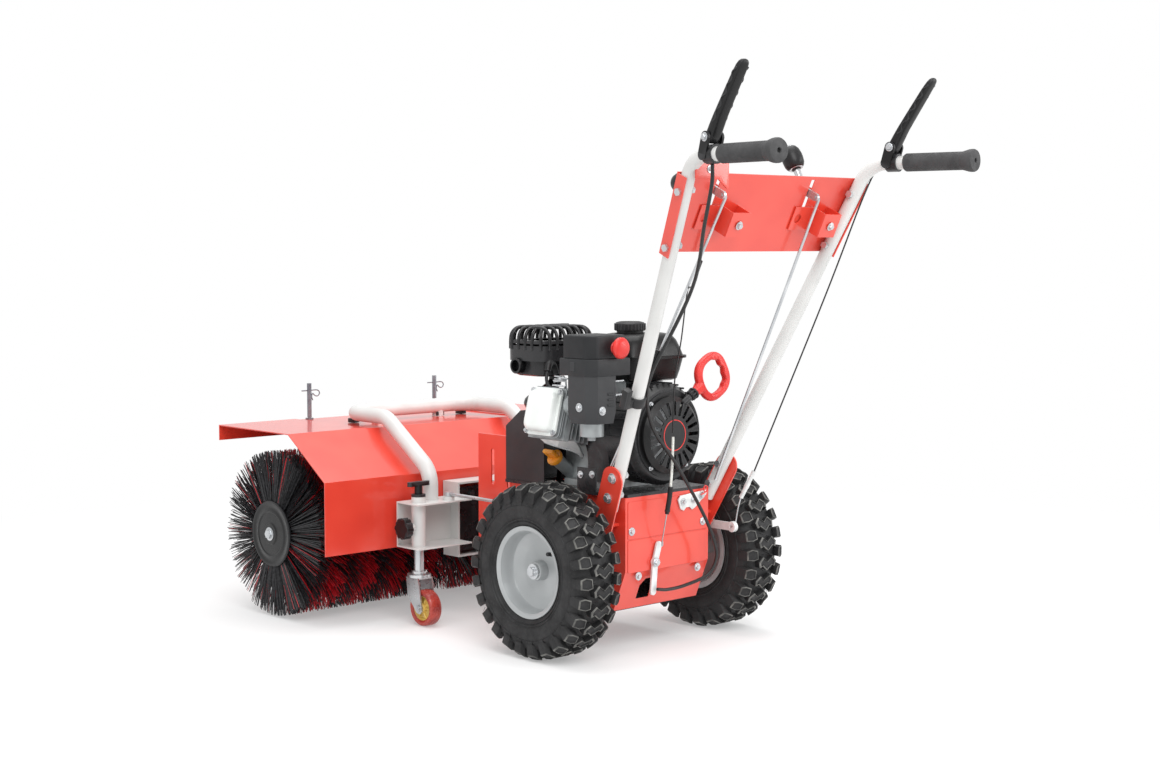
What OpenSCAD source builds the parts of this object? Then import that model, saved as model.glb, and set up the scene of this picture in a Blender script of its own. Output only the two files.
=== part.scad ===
// Walk-behind power brush sweeper: two drive wheels, an engine on a tray, handlebars with levers,
// and a swivelling head with a long brush, a folded hood and two castors.
// Sizes are millimetres. X is to the machine's right, Y is forward and Z is up.
// Places along the machine are measured from the wheel axle. The finished model is then shifted
// along Y, so that the origin lies on the floor under the middle of its box.

/* [Wheels] */
// Outer diameter of the drive tyres
tyre_d = 330; // [310:1:350]
// Width of the drive tyres
tyre_w = 102; // [92:1:108]
// Height of the tread lugs
lug_h = 9; // [4:0.5:12]
// Lugs in each of the two rows on a tyre
tyre_lugs = 18; // [12:1:24]
// Distance between the two tyre centres
track = 446; // [440:1:470]
// Diameter of the rim flange
rim_d = 174; // [164:1:184]
// Diameter of the wheel axle
axle_d = 19; // [16:0.5:22]

/* [Chassis] */
// Width over the side plates
frame_w = 226; // [216:1:230]
// Thickness of the side plates and uprights
plate_t = 3; // [2:0.5:4]
// Thickness of the rear cover
cover_t = 2; // [1:0.5:3]
// Distance from the axle back to the rear cover
rear_reach = 104; // [100:1:112]
// Height of the fold in the rear cover
cover_fold_z = 160; // [140:1:180]
// Height of the lower edge of the rear cover
cover_bottom_z = 82; // [70:1:95]
// How far the lower part of the rear cover folds forward
cover_fold_in = 32; // [20:1:45]
// Height of the top of the side plates
plate_top_z = 300; // [292:1:306]
// Thickness of the engine tray
tray_t = 6; // [4:0.5:8]
// Width of the engine tray at the engine
tray_w = 244; // [240:1:250]
// Rear edge of the tower uprights
upright_y = 233; // [232.5:0.5:240]
// Depth of the tower uprights
upright_d = 89; // [80:1:92]
// Height of the top of the tower uprights
upright_top_z = 391; // [380:1:400]
// Distance from the axle to the swivel axis
swivel_y = 370; // [366:1:374]
// Diameter of the swivel pins
swivel_pin_d = 20; // [16:1:22]

/* [Handlebars] */
// Diameter of the handle tubes
tube_d = 25; // [22:0.5:26]
// Wall of the handle tubes and of the guard tube
tube_wall = 2; // [1.5:0.5:3]
// Backward lean of the handle tubes in degrees
handle_lean = 25.6; // [25:0.1:27]
// Outward lean of each tube within the handlebar plane in degrees
handle_splay = 8.5; // [8:0.1:9]
// Distance from a side plate out to its tube at the height of the tray
handle_stand = 21; // [19:0.5:23]
// Height of the grips
grip_z = 923; // [905:1:940]
// Radius of the upper bend
handle_bend = 60; // [45:1:70]
// Outward turn of the grips in degrees
grip_turn = 7.5; // [5:0.5:9]
// Bare length of tube between the upper bend and a grip
bare_run = 37.7; // [34:0.1:46]
// Length of a grip
grip_l = 140; // [125:1:145]
// Diameter of a grip
grip_d = 33; // [31:0.5:36]
// Length of a clutch lever from its pivot
lever_l = 146; // [130:1:150]
// Angle of a released clutch lever above its grip in degrees
lever_rise = 56; // [54:1:60]

/* [Control panel] */
// Distance along the slope from the tray to the panel's lower edge
panel_low = 505; // [495:1:515]
// Height of the panel along the slope
panel_h = 150; // [140:1:158]
// Thickness of the panel
panel_t = 2; // [1.5:0.5:3]
// Length of the gear and swivel levers from pivot to knob
hand_lever_l = 66; // [60:1:75]
// Angle of the gear lever from the panel's normal in degrees
gear_lever_rise = 38; // [30:1:45]
// Angle of the swivel lever from the panel's normal in degrees
swivel_lever_rise = -18; // [-25:1:-10]

/* [Engine] */
// Height of the crankshaft above the tray
crank_h = 106; // [102:1:110]
// Diameter of the crankshaft
crank_d = 25; // [20:0.5:28]
// Radius of the fan shroud
shroud_r = 98; // [94:1:99]
// Radius of the recoil grille
grille_r = 74; // [66:1:80]
// Rise of the cylinder from the horizontal in degrees
cylinder_rise = 14.5; // [12:0.5:16]
// Height of the fuel tank
tank_h = 92; // [80:1:96]
// Diameter of the fuel cap
fuel_cap_d = 60; // [50:1:66]
// Depth of the belt guard along the machine
guard_d = 114; // [108:1:114]
// Height of the belt guard
guard_h = 149; // [145:1:155]

/* [Brush] */
// Diameter over the bristles
brush_d = 346; // [320:1:348]
// Length of the brush over its bristles
brush_l = 794; // [740:1:796]
// Distance from the axle forward to the brush axis
brush_y = 655; // [652:1:665]
// Height of the brush axis
brush_z = 175; // [174.5:0.5:182]
// Width of the gearbox in the middle of the brush
gearbox_w = 52; // [44:1:60]
// Diameter of the brush shaft
brush_shaft_d = 30; // [26:1:34]
// Outer diameter of the bristle backing
backing_d = 92; // [84:1:100]
// Bristle tufts round each half of the brush
tufts_round = 20; // [16:2:20]
// Rows of tufts along each half of the brush
tuft_rows = 10; // [8:1:10]
// Diameter of the end dishes
dish_d = 137; // [120:1:150]

/* [Hood] */
// Width of the hood
hood_w = 800; // [790:1:815]
// Thickness of the hood sheet
hood_t = 2; // [1:0.5:3]
// Distance from the axle to the front lip
hood_front_y = 849; // [845:1:860]
// Distance from the axle to the fold between top and slope
hood_fold_y = 586; // [580:1:590]
// Distance from the axle to the hood's back
hood_back_y = 458; // [456:0.5:460]
// Height of the hood's top
hood_top_z = 388; // [386:0.5:392]
// Height of the fold between slope and back
hood_slope_z = 300; // [296:1:306]
// Height of the lower edge of the back
hood_bottom_z = 151; // [145:1:160]
// Height of the front lip
lip_h = 33; // [25:1:40]
// Half the width of the middle sheet
wing_x = 226; // [215:1:235]
// How far an end wing laps over the middle sheet
wing_lap = 20; // [12:1:26]
// Half the distance between the hood posts
post_x = 176; // [172:1:180]
// Diameter of the hood posts
post_d = 10; // [8:0.5:12]
// Height of the hood posts above the hood
post_h = 80; // [70:1:85]
// Thickness of the collar that a post stands on
post_collar = 3; // [2:0.5:5]
// Diameter of the guard tube
guard_tube_d = 32; // [28:0.5:33]
// Half the distance between the legs of the guard tube
guard_x = 170; // [166:1:174]
// Distance from the axle to the guard tube's cross bar
guard_bar_y = 706; // [690:1:720]

/* [Castors] */
// Half the distance between the castor stems
castor_x = 215; // [213:1:218]
// Distance from the axle to the castor stems
castor_y = 394; // [392:1:397]
// How far the castor wheels trail behind their stems
castor_trail = 22; // [18:1:26]
// Diameter of the castor wheels
castor_d = 74; // [66:1:80]
// Width of the castor wheels
castor_w = 28; // [24:1:30]
// Diameter of the castor stems
stem_d = 20; // [18:0.5:22]
// Height travel of the castor stems
stem_travel = 40; // [20:1:45]

/* [Fits] */
// Radial clearance of running fits
running = 0.05; // [0.02:0.01:0.1]
// Gap between pieces that pass each other
gap = 0.4; // [0.3:0.05:0.6]

/* [Hidden] */
$fn = 48;

// Colours as the machine shows them
red = [0.86, 0.13, 0.08];
black = [0.07, 0.07, 0.075];
dark_grey = [0.22, 0.22, 0.23];
light_grey = [0.72, 0.73, 0.73];
zinc = [0.78, 0.79, 0.8];
alloy = [0.86, 0.86, 0.85];
orange = [0.95, 0.5, 0.1];
castor_red = [0.7, 0.2, 0.17];

// Shared places
axle_z = tyre_d / 2;
half_frame = frame_w / 2;
tray_top_z = plate_top_z + tray_t;
crank_z = tray_top_z + crank_h;
tube_r = tube_d / 2;
half_track = track / 2;
bolt_r = 4;
// Bends of round bars are a hair thicker than their straight runs, which reach into them
bend_swell = 0.05;
bend_bite = 0.4;

// Rear cover line from its top edge down, seen from the left side
cover_line = [
  [-rear_reach, plate_top_z],
  [-rear_reach, cover_fold_z],
  [cover_fold_in - rear_reach, cover_bottom_z]
];

// Window in the rear cover and the stud of the arm above it
window = [[-62, 100], [-28, 140]];
arm_stud = [-40, 172];
arm_stud_r = 5;
tower_bolts = [cover_fold_z + 15, plate_top_z - 72];
tower_bolt_y = upright_y - 22;

// Handlebar plane, tube line and the corner of its upper bend
handle_foot_x = half_frame + handle_stand;
handle_foot_y = 10 - rear_reach;
tube_run = [tan(handle_splay), -sin(handle_lean), cos(handle_lean)];
tube_rise = (grip_z - plate_top_z) / tube_run[2];
bar_corner = [handle_foot_x, handle_foot_y, plate_top_z] + tube_rise * tube_run;
grip_run = [sin(grip_turn), -cos(grip_turn), 0];
bend_run = handle_bend * tan(acos(unit(tube_run) * grip_run) / 2);
grip_reach = bend_run + bare_run + grip_l;
grip_end = bar_corner + grip_reach * grip_run;
grip_lip_r = grip_d / 2 + 4;
tube_foot = 24;
ear_low = -75;
ear_high = 72;
ear_half = 27;
ear_bolts = [6, 50];
panel_bolts = [22, 128];

// Clutch levers sit on mounts just behind the upper bend
mount_l = 22;
lever_pivot = [0, 28, bend_run + mount_l / 2 + 2.7];
lever_pin_r = 4;
lever_gap = 13;

// Gear and swivel levers on the panel
gear_x = 112;
stand_shift = -250;
swivel_lever_x = gear_x + stand_shift;
panel_face = tube_r + panel_t;
lever_axis = [panel_face + 10, panel_low + 118];
rod_arm = 30;
gear_rod_end = [112, -118, tray_top_z + 10];
swivel_rod_end = [-138, -78, tray_top_z + 40];

// Engine places
block_y = [-33, 105];
cylinder_y = 60;
shroud_back_y = -103;
recoil_back_y = -122;
rope_y = (recoil_back_y + shroud_back_y) / 2 - 1;
rope_r = 2.5;
carb_x = -146;
carb_y = -47;
carb_z = crank_z + 58;
cover_z = [crank_z + 29, crank_z + 98, crank_z + 132, crank_z + 194];
cover_corner = [[-185, -10], [-185, -68], [-165, -88], [-103, -88], [-103, -10]];
tank_z = crank_z + shroud_r + 1;
tank_box = [[-65, -75], [90, 60]];
tank_seam_z = tank_z + tank_h / 2;
cap_place = [0, 0, tank_z + tank_h];
muffler_z = crank_z + 104;
muffler_box = [[-128, 112], [6, 212]];
dipstick_place = [-94, 96, crank_z - 65];
dipstick_neck = 44;
dipstick_tilt = -52;
knob_place = [-122, cover_corner[3][1], cover_z[2] + 34];
pull_angle = 60;
rope_off = 36;
pull_start = grille_r + 4;
loop_reach = grille_r + 76;
guard_y = [upright_y - 2 - guard_d, upright_y - 2];
guard_half = 120;
guard_wall = 2;
pulley_y = [guard_y[0] + 32, guard_y[0] + 54];
belt_w = 12;
belt_t = 8;
crank_pulley_r = 20;
drive_pulley_r = 52;
drive_shaft_r = 10;
belt_span = crank_z - brush_z;

// Tower and yoke
cross_z = [113, 282];
cross_t = 6;
lug_t = 12;
yoke_half = 100;
yoke_wall = 4;
yoke_y = [hood_back_y - 50, hood_back_y];
yoke_z = [cross_z[0] + cross_t + 3, cross_z[1] - 3];
tongue_half = 22;
swivel_pin_r = swivel_pin_d / 2;
ball_r = 18;
bell_r = 27;
input_r = 9;

// Hood line from the lip's lower edge to the back's lower edge
hood_line = [
  [hood_front_y, hood_top_z - lip_h],
  [hood_front_y, hood_top_z],
  [hood_fold_y, hood_top_z],
  [hood_back_y, hood_slope_z],
  [hood_back_y, hood_bottom_z]
];
hood_under = offset_line(hood_line, hood_t);
slope_angle = atan2(hood_top_z - hood_slope_z, hood_fold_y - hood_back_y);
post_y = hood_front_y - 13;
post_stud_r = post_d / 2 - 1;
guard_r = guard_tube_d / 2;
guard_z = hood_top_z - hood_t + guard_r + 8;
guard_leg_y = hood_back_y - 46;
guard_bend = 55;

// Castors
castor_r = castor_d / 2;
bracket_x = [yoke_half, castor_x + 24];
bracket_y = [castor_y - 31, castor_y + 42];
bracket_z = [157, 250];
tie_eye = [-yoke_half - 46, yoke_y[0] - 26, bracket_z[1]];
bracket_t = 3;
stem_r = stem_d / 2;
sleeve_r = stem_r + 4.5;
sleeve_top = bracket_z[1] + 12;
swivel_plate_z = castor_d + 24;
screw_r = 5;
fork_t = 3;

// Shift that puts the origin under the middle of the whole machine
rear_end = grip_end[1] - grip_lip_r * sin(grip_turn);
frame_shift = -(hood_front_y + rear_end) / 2;

// Vector and sheet functions
function unit(v) = v / norm(v);
function side_of(a, b) = let (d = unit(b - a)) [-d[1], d[0]];
function mitre(p, i) =
  i == 0 ? side_of(p[0], p[1]) :
  i == len(p) - 1 ? side_of(p[i - 1], p[i]) :
  let (m = side_of(p[i - 1], p[i]), n = side_of(p[i], p[i + 1])) (m + n) / (1 + m * n);
function offset_line(p, t) = [for (i = [0 : len(p) - 1]) p[i] + t * mitre(p, i)];
function reversed(p) = [for (i = [len(p) - 1 : -1 : 0]) p[i]];
function strip(p, t) = concat(p, reversed(offset_line(p, t)));
function mirrored(p) = concat(p, [for (q = reversed(p)) [-q[0], q[1]]]);

// Places a Y-Z outline from x0 to x1
module along_x(x0, x1) {
  translate([x0, 0, 0]) rotate([90, 0, 90]) linear_extrude(x1 - x0) children();
}

// Places an X-Z outline from y0 to y1
module along_y(y0, y1) {
  translate([0, y1, 0]) rotate([90, 0, 0]) linear_extrude(y1 - y0) children();
}

module rod_x(r, x0, x1) {
  translate([x0, 0, 0]) rotate([0, 90, 0]) cylinder(r = r, h = x1 - x0);
}

module rod_y(r, y0, y1) {
  translate([0, y1, 0]) rotate([90, 0, 0]) cylinder(r = r, h = y1 - y0);
}

module box(low, high) {
  translate(low) cube(high - low);
}

// Flat bar outline between two points, with round ends a hair wider than the bar
module link_shape(a, b, r) {
  d = b - a;
  translate(a) circle(r);
  translate(b) circle(r);
  half = r - bend_swell;
  translate(a) rotate(atan2(d[1], d[0])) translate([0, -half]) square([norm(d), 2 * half]);
}

// Rectangle with round corners
module round_rect(low, high, r) {
  translate(low + [r, 0]) square(high - low - [2 * r, 0]);
  translate(low + [0, r]) square(high - low - [0, 2 * r]);
  for (x = [low[0] + r, high[0] - r])
    for (y = [low[1] + r, high[1] - r])
      translate([x, y]) circle(r);
}

// Turns local Z towards a direction, and where local X and Y then point
function aim_x(v) =
  let (t = acos(v[2] / norm(v)), f = atan2(v[1], v[0])) [cos(t) * cos(f), cos(t) * sin(f), -sin(t)];
function aim_y(v) = let (f = atan2(v[1], v[0])) [-sin(f), cos(f), 0];
module aim(v) {
  rotate([0, acos(v[2] / norm(v)), atan2(v[1], v[0])]) children();
}

// Round bar through a list of points, with slightly swollen arcs of one radius at its corners
module pipe(p, r, radius) {
  last = len(p) - 1;
  run = [for (i = [0 : last - 1]) unit(p[i + 1] - p[i])];
  turn = [for (i = [0 : last]) i == 0 || i == last ? 0 : acos(run[i - 1] * run[i])];
  cut = [for (i = [0 : last]) i == 0 || i == last ? 0 : radius * tan(turn[i] / 2) - bend_bite];
  for (i = [0 : last - 1])
    translate(p[i] + cut[i] * run[i])
      aim(run[i]) cylinder(r = r, h = norm(p[i + 1] - p[i]) - cut[i] - cut[i + 1]);
  for (i = [1 : 1 : last - 1]) {
    inward = unit(run[i] - (run[i] * run[i - 1]) * run[i - 1]);
    centre = p[i] - (cut[i] + bend_bite) * run[i - 1] + radius * inward;
    side = cross(-inward, run[i - 1]);
    translate(centre) aim(side) rotate(atan2(-inward * aim_y(side), -inward * aim_x(side)))
      rotate_extrude(angle = turn[i]) translate([radius, 0]) circle(r + bend_swell);
  }
}

// Places children on the right handle tube, with local Z up the tube and local X outboard
module on_handle() {
  translate([handle_foot_x, handle_foot_y, plate_top_z])
    rotate([handle_lean, 0, 0]) rotate([0, handle_splay, 0]) children();
}

// Places children on the handlebar plane, with local Z up the slope and local Y forward
module on_slope() {
  translate([0, handle_foot_y, plate_top_z]) rotate([handle_lean, 0, 0]) children();
}

// Places children on the right grip, with local Z towards the operator and local Y up
module on_grip() {
  translate(bar_corner) rotate([90, 0, grip_turn]) children();
}

// Repeats children on both sides of the machine
module both_sides() {
  children();
  mirror([1, 0, 0]) children();
}

// Bolt head and nut with their shank along local X, the sheet pack between x0 and x1
module bolt_x(x0, x1) {
  rod_x(bolt_r, x0 - 6, x1);
  translate([x1, 0, 0]) rotate([0, 90, 0]) cylinder(r = 7, h = 5, $fn = 6);
  translate([x0 - 6, 0, 0]) rotate([0, 90, 0]) cylinder(r = 7, h = 6, $fn = 6);
}

// Chassis
module side_plate() {
  rear = offset_line(cover_line, cover_t);
  front = upright_y - 5;
  color(red) {
    difference() {
      along_x(half_frame - plate_t, half_frame)
        polygon(concat(rear, [[front - 60, cover_bottom_z], [front, cover_fold_z], [front, plate_top_z]]));
      translate([0, 0, axle_z]) rod_x(axle_d / 2 + 8, 0, half_frame + 1);
      for (z = tower_bolts) translate([0, tower_bolt_y, z]) rod_x(bolt_r + running, 0, half_frame + 1);
    }
    difference() {
      on_handle() along_x(tube_r, tube_r + plate_t) {
        translate([-ear_half, ear_low]) square([2 * ear_half, ear_high - ear_half - ear_low]);
        translate([0, ear_high - ear_half]) circle(ear_half);
      }
      on_handle() for (z = ear_bolts) translate([0, 0, z]) rod_x(bolt_r + running, 0, tube_r + 10);
    }
    box([half_frame - plate_t, -86, 246], [handle_foot_x + 6, -42, 252]);
  }
}

module side_plate_right() side_plate();
module side_plate_left() mirror([1, 0, 0]) side_plate();

module engine_tray() {
  half = tray_w / 2;
  neck = half_frame - 6;
  color(black) {
    difference() {
      translate([0, 0, plate_top_z]) linear_extrude(tray_t)
        polygon(mirrored([[neck, -rear_reach], [neck, -55], [half, -40], [half, guard_y[1]]]));
      box([-drive_pulley_r - 14, pulley_y[0] - 8, plate_top_z - 1],
          [drive_pulley_r + 14, pulley_y[1] + 8, tray_top_z + 1]);
    }
    box([-half - plate_t, -36, plate_top_z], [-half, 16, tray_top_z + 44]);
  }
}

module rear_cover() {
  color(red) difference() {
    along_x(-half_frame, half_frame) polygon(strip(cover_line, cover_t));
    along_y(-rear_reach - 10, cover_fold_in) polygon([
      window[0], [window[1][0], window[0][1]], window[1], [window[0][0] + 12, window[1][1]],
      [window[0][0], window[1][1] - 12]
    ]);
  }
  color(zinc) translate([arm_stud[0], 0, arm_stud[1]]) {
    rod_y(arm_stud_r + 4, -rear_reach - 3, -rear_reach);
    rod_y(arm_stud_r, -rear_reach - 12, -rear_reach);
  }
}

module swivel_tower() {
  front = upright_y + upright_d;
  slot = [upright_y + 44, upright_top_z - 96];
  color(red) {
    both_sides() difference() {
      along_x(half_frame, half_frame + plate_t) difference() {
        polygon([
          [upright_y - 40, cross_z[0]], [front, cross_z[0]], [front, upright_top_z],
          [upright_y, upright_top_z], [upright_y, plate_top_z - 12], [upright_y - 40, plate_top_z - 12]
        ]);
        link_shape(slot, slot + [0, 62], 5);
      }
      for (z = tower_bolts)
        translate([0, tower_bolt_y, z]) rod_x(bolt_r + running, half_frame - 10, half_frame + 10);
    }
    for (i = [0, 1])
      difference() {
        translate([0, 0, cross_z[i]]) linear_extrude(cross_t) {
          translate([-half_frame, upright_y]) square([frame_w, upright_d]);
          translate([-tongue_half, front - 1]) square([2 * tongue_half, swivel_y - front + 1]);
          translate([0, swivel_y]) circle(tongue_half);
        }
        translate([0, swivel_y, cross_z[i] - 1]) cylinder(r = swivel_pin_r, h = cross_t + 2);
      }
    difference() {
      union() {
        box([-half_frame, upright_y, cross_z[0]], [half_frame, upright_y + 6, cross_z[1] + cross_t]);
        translate([0, 0, brush_z]) rod_y(26, upright_y - 8, upright_y + 26);
      }
      translate([0, 0, brush_z]) rod_y(drive_shaft_r + running, upright_y - 10, upright_y + 28);
    }
    translate([0, swivel_y, cross_z[0]]) cylinder(r = swivel_pin_r, h = cross_t + lug_t + 7);
    translate([0, swivel_y, cross_z[1] - lug_t - 7]) cylinder(r = swivel_pin_r, h = lug_t + 7 + cross_t);
  }
}

module axle_bearings() {
  color(zinc) both_sides() translate([0, 0, axle_z]) difference() {
    union() {
      rod_x(26, half_frame - plate_t - 14, half_frame - plate_t);
      rod_x(axle_d / 2 + 7, half_frame - plate_t - 1, half_frame + 6);
    }
    rod_x(axle_d / 2 + running, half_frame - 40, half_frame + 20);
  }
}

// Handlebars
module handle() {
  foot = [handle_foot_x, handle_foot_y, plate_top_z] - tube_foot * tube_run;
  route = [foot, bar_corner, bar_corner + (grip_reach - 6) * grip_run];
  bore = [foot - 2 * tube_run, bar_corner, bar_corner + (grip_reach - 4) * grip_run];
  color(light_grey) difference() {
    pipe(route, tube_r, handle_bend);
    pipe(bore, tube_r - tube_wall, handle_bend);
    on_handle() {
      for (z = ear_bolts) translate([0, 0, z]) rod_x(bolt_r + running, -tube_d, tube_d);
      for (z = panel_bolts) translate([0, 0, panel_low + z]) rod_x(bolt_r + running, -tube_d, tube_d);
    }
  }
}

module handle_right() handle();
module handle_left() mirror([1, 0, 0]) handle();

module grips() {
  start = grip_reach - grip_l;
  color(dark_grey) both_sides() on_grip() difference() {
    union() {
      translate([0, 0, start]) cylinder(r = grip_d / 2, h = grip_l - 8);
      translate([0, 0, grip_reach - 26]) cylinder(r1 = grip_d / 2, r2 = grip_lip_r, h = 14);
      translate([0, 0, grip_reach - 12]) cylinder(r = grip_lip_r, h = 12);
    }
    translate([0, 0, start - 1]) cylinder(r = tube_r + running, h = grip_l - 4.5);
  }
}

module lever_mounts() {
  ear_t = 4;
  ring_r = tube_r + 4;
  color(black) both_sides() on_grip() translate([0, 0, lever_pivot[2]]) difference() {
    union() {
      translate([0, 0, -mount_l / 2]) cylinder(r = ring_r, h = mount_l);
      for (x = [-lever_gap - ear_t, lever_gap])
        along_x(x, x + ear_t) rotate(90) link_shape([-8, 0], [0, -lever_pivot[1]], 10);
      translate([0, lever_pivot[1], 0]) rod_x(lever_pin_r, -lever_gap - ear_t - 3, lever_gap + ear_t + 3);
    }
    translate([0, 0, -20]) cylinder(r = tube_r + running, h = 40);
  }
}

module clutch_lever() {
  thick = 14;
  width = 2 * (lever_gap - gap);
  color(black) on_grip() translate(lever_pivot) rotate([-lever_rise, 0, 0]) difference() {
    union() {
      rod_x(10, -width / 2, width / 2);
      along_x(-width / 2, width / 2) polygon([
        [-7, 4], [7, 4], [thick - 4, 40], [thick - 5, lever_l - 8], [thick - 10, lever_l],
        [-2, lever_l], [-5, lever_l - 8], [-4, 40]
      ]);
    }
    rod_x(lever_pin_r + running, -30, 30);
    for (z = [52 : 24 : lever_l - 20]) translate([0, -9, z]) rod_x(8, -30, 30);
  }
}

module clutch_lever_right() clutch_lever();
module clutch_lever_left() mirror([1, 0, 0]) clutch_lever();

// Control panel
module lever_stand() {
  low = panel_low + 45;
  stand_h = 46;
  line = [[88, 9], [138, 9], [138, -22], [184, -22], [184, tube_r + panel_t / 2]];
  hole = [103, low + stand_h / 2];
  difference() {
    translate([0, 0, low]) linear_extrude(stand_h) polygon(strip(line, panel_t));
    translate([hole[0], 0, hole[1]]) rod_y(9, 0, tube_r);
  }
}

module lever_bearing() {
  arm = tube_r + panel_t / 2;
  for (x = [-10, 6])
    translate([x, 0, 0]) along_x(0, 4) difference() {
      link_shape([arm + 4, lever_axis[1]], lever_axis, 8);
      translate([0, lever_axis[1] - 20]) square([arm, 40]);
    }
  translate([0, lever_axis[0], lever_axis[1]]) rod_x(3, -9, 9);
}

module control_panel() {
  wide = [for (z = [panel_low, panel_low + panel_h])
    handle_foot_x + z * tan(handle_splay) + (tube_r + panel_t / 2) / cos(handle_splay)];
  slot_z = [lever_axis[1] - 28, lever_axis[1] + 26];
  top_z = panel_low + panel_h;
  color(red) {
    on_slope() {
      difference() {
        along_y(tube_r, panel_face)
          polygon(mirrored([[wide[0], panel_low], [wide[1], top_z]]));
        for (x = [gear_x, swivel_lever_x])
          box([x - 5, 0, slot_z[0]], [x + 5, 40, slot_z[1]]);
      }
      for (x = [gear_x, swivel_lever_x]) translate([x, 0, 0]) lever_bearing();
      for (x = [0, stand_shift]) translate([x, 0, 0]) lever_stand();
    }
    both_sides() difference() {
      on_handle() box([tube_r, -10, panel_low / cos(handle_splay)],
                      [tube_r + panel_t, tube_r + panel_t / 2, top_z / cos(handle_splay)]);
      on_handle() for (z = panel_bolts) translate([0, 0, panel_low + z]) rod_x(bolt_r + running, 0, 30);
    }
  }
}

// Flat lever with a knob, turned to its rise above the panel's normal
module hand_lever(x, rise) {
  color(zinc) on_slope() translate([x, lever_axis[0], lever_axis[1]]) difference() {
    union() {
      along_x(-3, 3) {
        link_shape([0, 0], [-rod_arm, 0], 7);
        link_shape([0, 0], (hand_lever_l - 24) * [cos(rise), sin(rise)], 6);
      }
      rotate([rise, 0, 0]) rod_y(5, 10, hand_lever_l - 20);
    }
    rod_x(3 + running, -10, 10);
    translate([0, -rod_arm, 0]) rod_x(3 + running, -10, 10);
  }
  color(black) on_slope() translate([x, lever_axis[0], lever_axis[1]]) rotate([rise, 0, 0])
    translate([0, hand_lever_l - 22, 0]) rotate([-90, 0, 0]) rotate_extrude() polygon([
      [0, 0], [13, 0], [18, 8], [19, 24], [17, 36], [11, 44], [0, 47]
    ]);
}

module gear_lever() hand_lever(gear_x, gear_lever_rise);
module swivel_lever() hand_lever(swivel_lever_x, swivel_lever_rise);

// Rod with a pin that hooks into a lever's rear arm
module lever_rod(x, foot) {
  place = [x, lever_axis[0] - rod_arm, lever_axis[1]];
  lean = [[1, 0, 0], [0, cos(handle_lean), -sin(handle_lean)], [0, sin(handle_lean), cos(handle_lean)]];
  top = [0, handle_foot_y, plate_top_z] + lean * place;
  out = [11, 0, 0];
  color(zinc) pipe([top - [5, 0, 0], top + out, foot + out / 2], 2.9, 8);
}

module gear_rod() lever_rod(gear_x, gear_rod_end);
module swivel_rod() lever_rod(swivel_lever_x, swivel_rod_end);

// Point beside the left handle tube, up its line by rise, at a distance off its axis turned by spin
function beside_tube(rise, off, spin) =
  let (u = unit(tube_run), w = unit([-1, -0.4, 0] - ([-1, -0.4, 0] * u) * u), v = cross(w, u),
       foot = [handle_foot_x, handle_foot_y, plate_top_z],
       q = foot + rise * tube_run + off * (cos(spin) * w + sin(spin) * v))
  [-q[0], q[1], q[2]];

module control_cables() {
  thick_r = 3.5;
  thin_r = 2.5;
  clamp = lever_pivot[2] * grip_run + bar_corner;
  mount_z = grip_z - tube_r - 4 - gap;
  thick_off = tube_r + thick_r + gap;
  thin_off = tube_r + thin_r + gap;
  rear = -rear_reach;
  color(black) {
    pipe([[-clamp[0], clamp[1], mount_z], [-clamp[0] + 3, clamp[1] + 3, mount_z - 26],
          [-200, rear - 268, 780],
          beside_tube(330, thick_off, 0), beside_tube(250, thick_off, 0), [-60, rear - 46, 400],
          [100, rear - 42, 190], [78, rear - 32, 124], [-20, rear - 14, 116]], thick_r, 22);
    pipe([beside_tube(480, thin_off, 40), beside_tube(250, thin_off, 40), [-40, rear - 36, 425],
          [-22, rear - 32, 310], [-30, rear - 16, 246]], thin_r, 20);
    pipe([[clamp[0], clamp[1], mount_z], [clamp[0], clamp[1] + 3, mount_z - 26], [186, rear - 82, 362]],
         2, 10);
  }
  color(zinc) pipe([[186, rear - 82, 363], [176, rear - 60, 312], [152, rear - 38, 258]], thick_r, 10);
}

module frame_bolts() {
  color(zinc) both_sides() {
    on_handle() for (z = ear_bolts) translate([0, 0, z]) bolt_x(-tube_r, tube_r + plate_t);
    on_handle() for (z = panel_bolts) translate([0, 0, panel_low + z]) bolt_x(-tube_r, tube_r + panel_t);
    for (z = tower_bolts)
      translate([0, tower_bolt_y, z]) bolt_x(half_frame - plate_t, half_frame + plate_t);
  }
}

// Wheels
module tyre() {
  r = tyre_d / 2;
  half = tyre_w / 2;
  bead = rim_d / 2 - 7;
  carcass = r - lug_h;
  outline = [[bead, half - 11.4], [bead + 8, half - 9.4], [bead + 16, half - 3], [bead + 32, half],
             [carcass - 18, half - 2], [carcass - 5, half - 8], [carcass, half - 22]];
  inside = [[bead - 1, half - 20], [bead + 14, half - 13], [carcass - 20, half - 12],
            [carcass - 9, half - 30]];
  lug_outline = [[carcass - 22, half - 3], [carcass - 4, half - 1], [r - 2, half - 4], [r, half - 9],
                 [r, 3], [carcass - 3, 3], [carcass - 8, half - 24]];
  step = 360 / tyre_lugs;
  color(black) rotate([0, 90, 0]) {
    rotate_extrude() difference() {
      polygon(concat(outline, [for (q = reversed(outline)) [q[0], -q[1]]]));
      polygon(concat(inside, [for (q = reversed(inside)) [q[0], -q[1]]]));
    }
    for (k = [0 : tyre_lugs - 1]) {
      rotate(k * step - step * 0.3) rotate_extrude(angle = step * 0.6) polygon(lug_outline);
      rotate(k * step + step * 0.2) mirror([0, 0, 1])
        rotate_extrude(angle = step * 0.6) polygon(lug_outline);
    }
  }
}

module tyre_right() translate([half_track, 0, axle_z]) tyre();
module tyre_left() mirror([1, 0, 0]) tyre_right();

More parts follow.
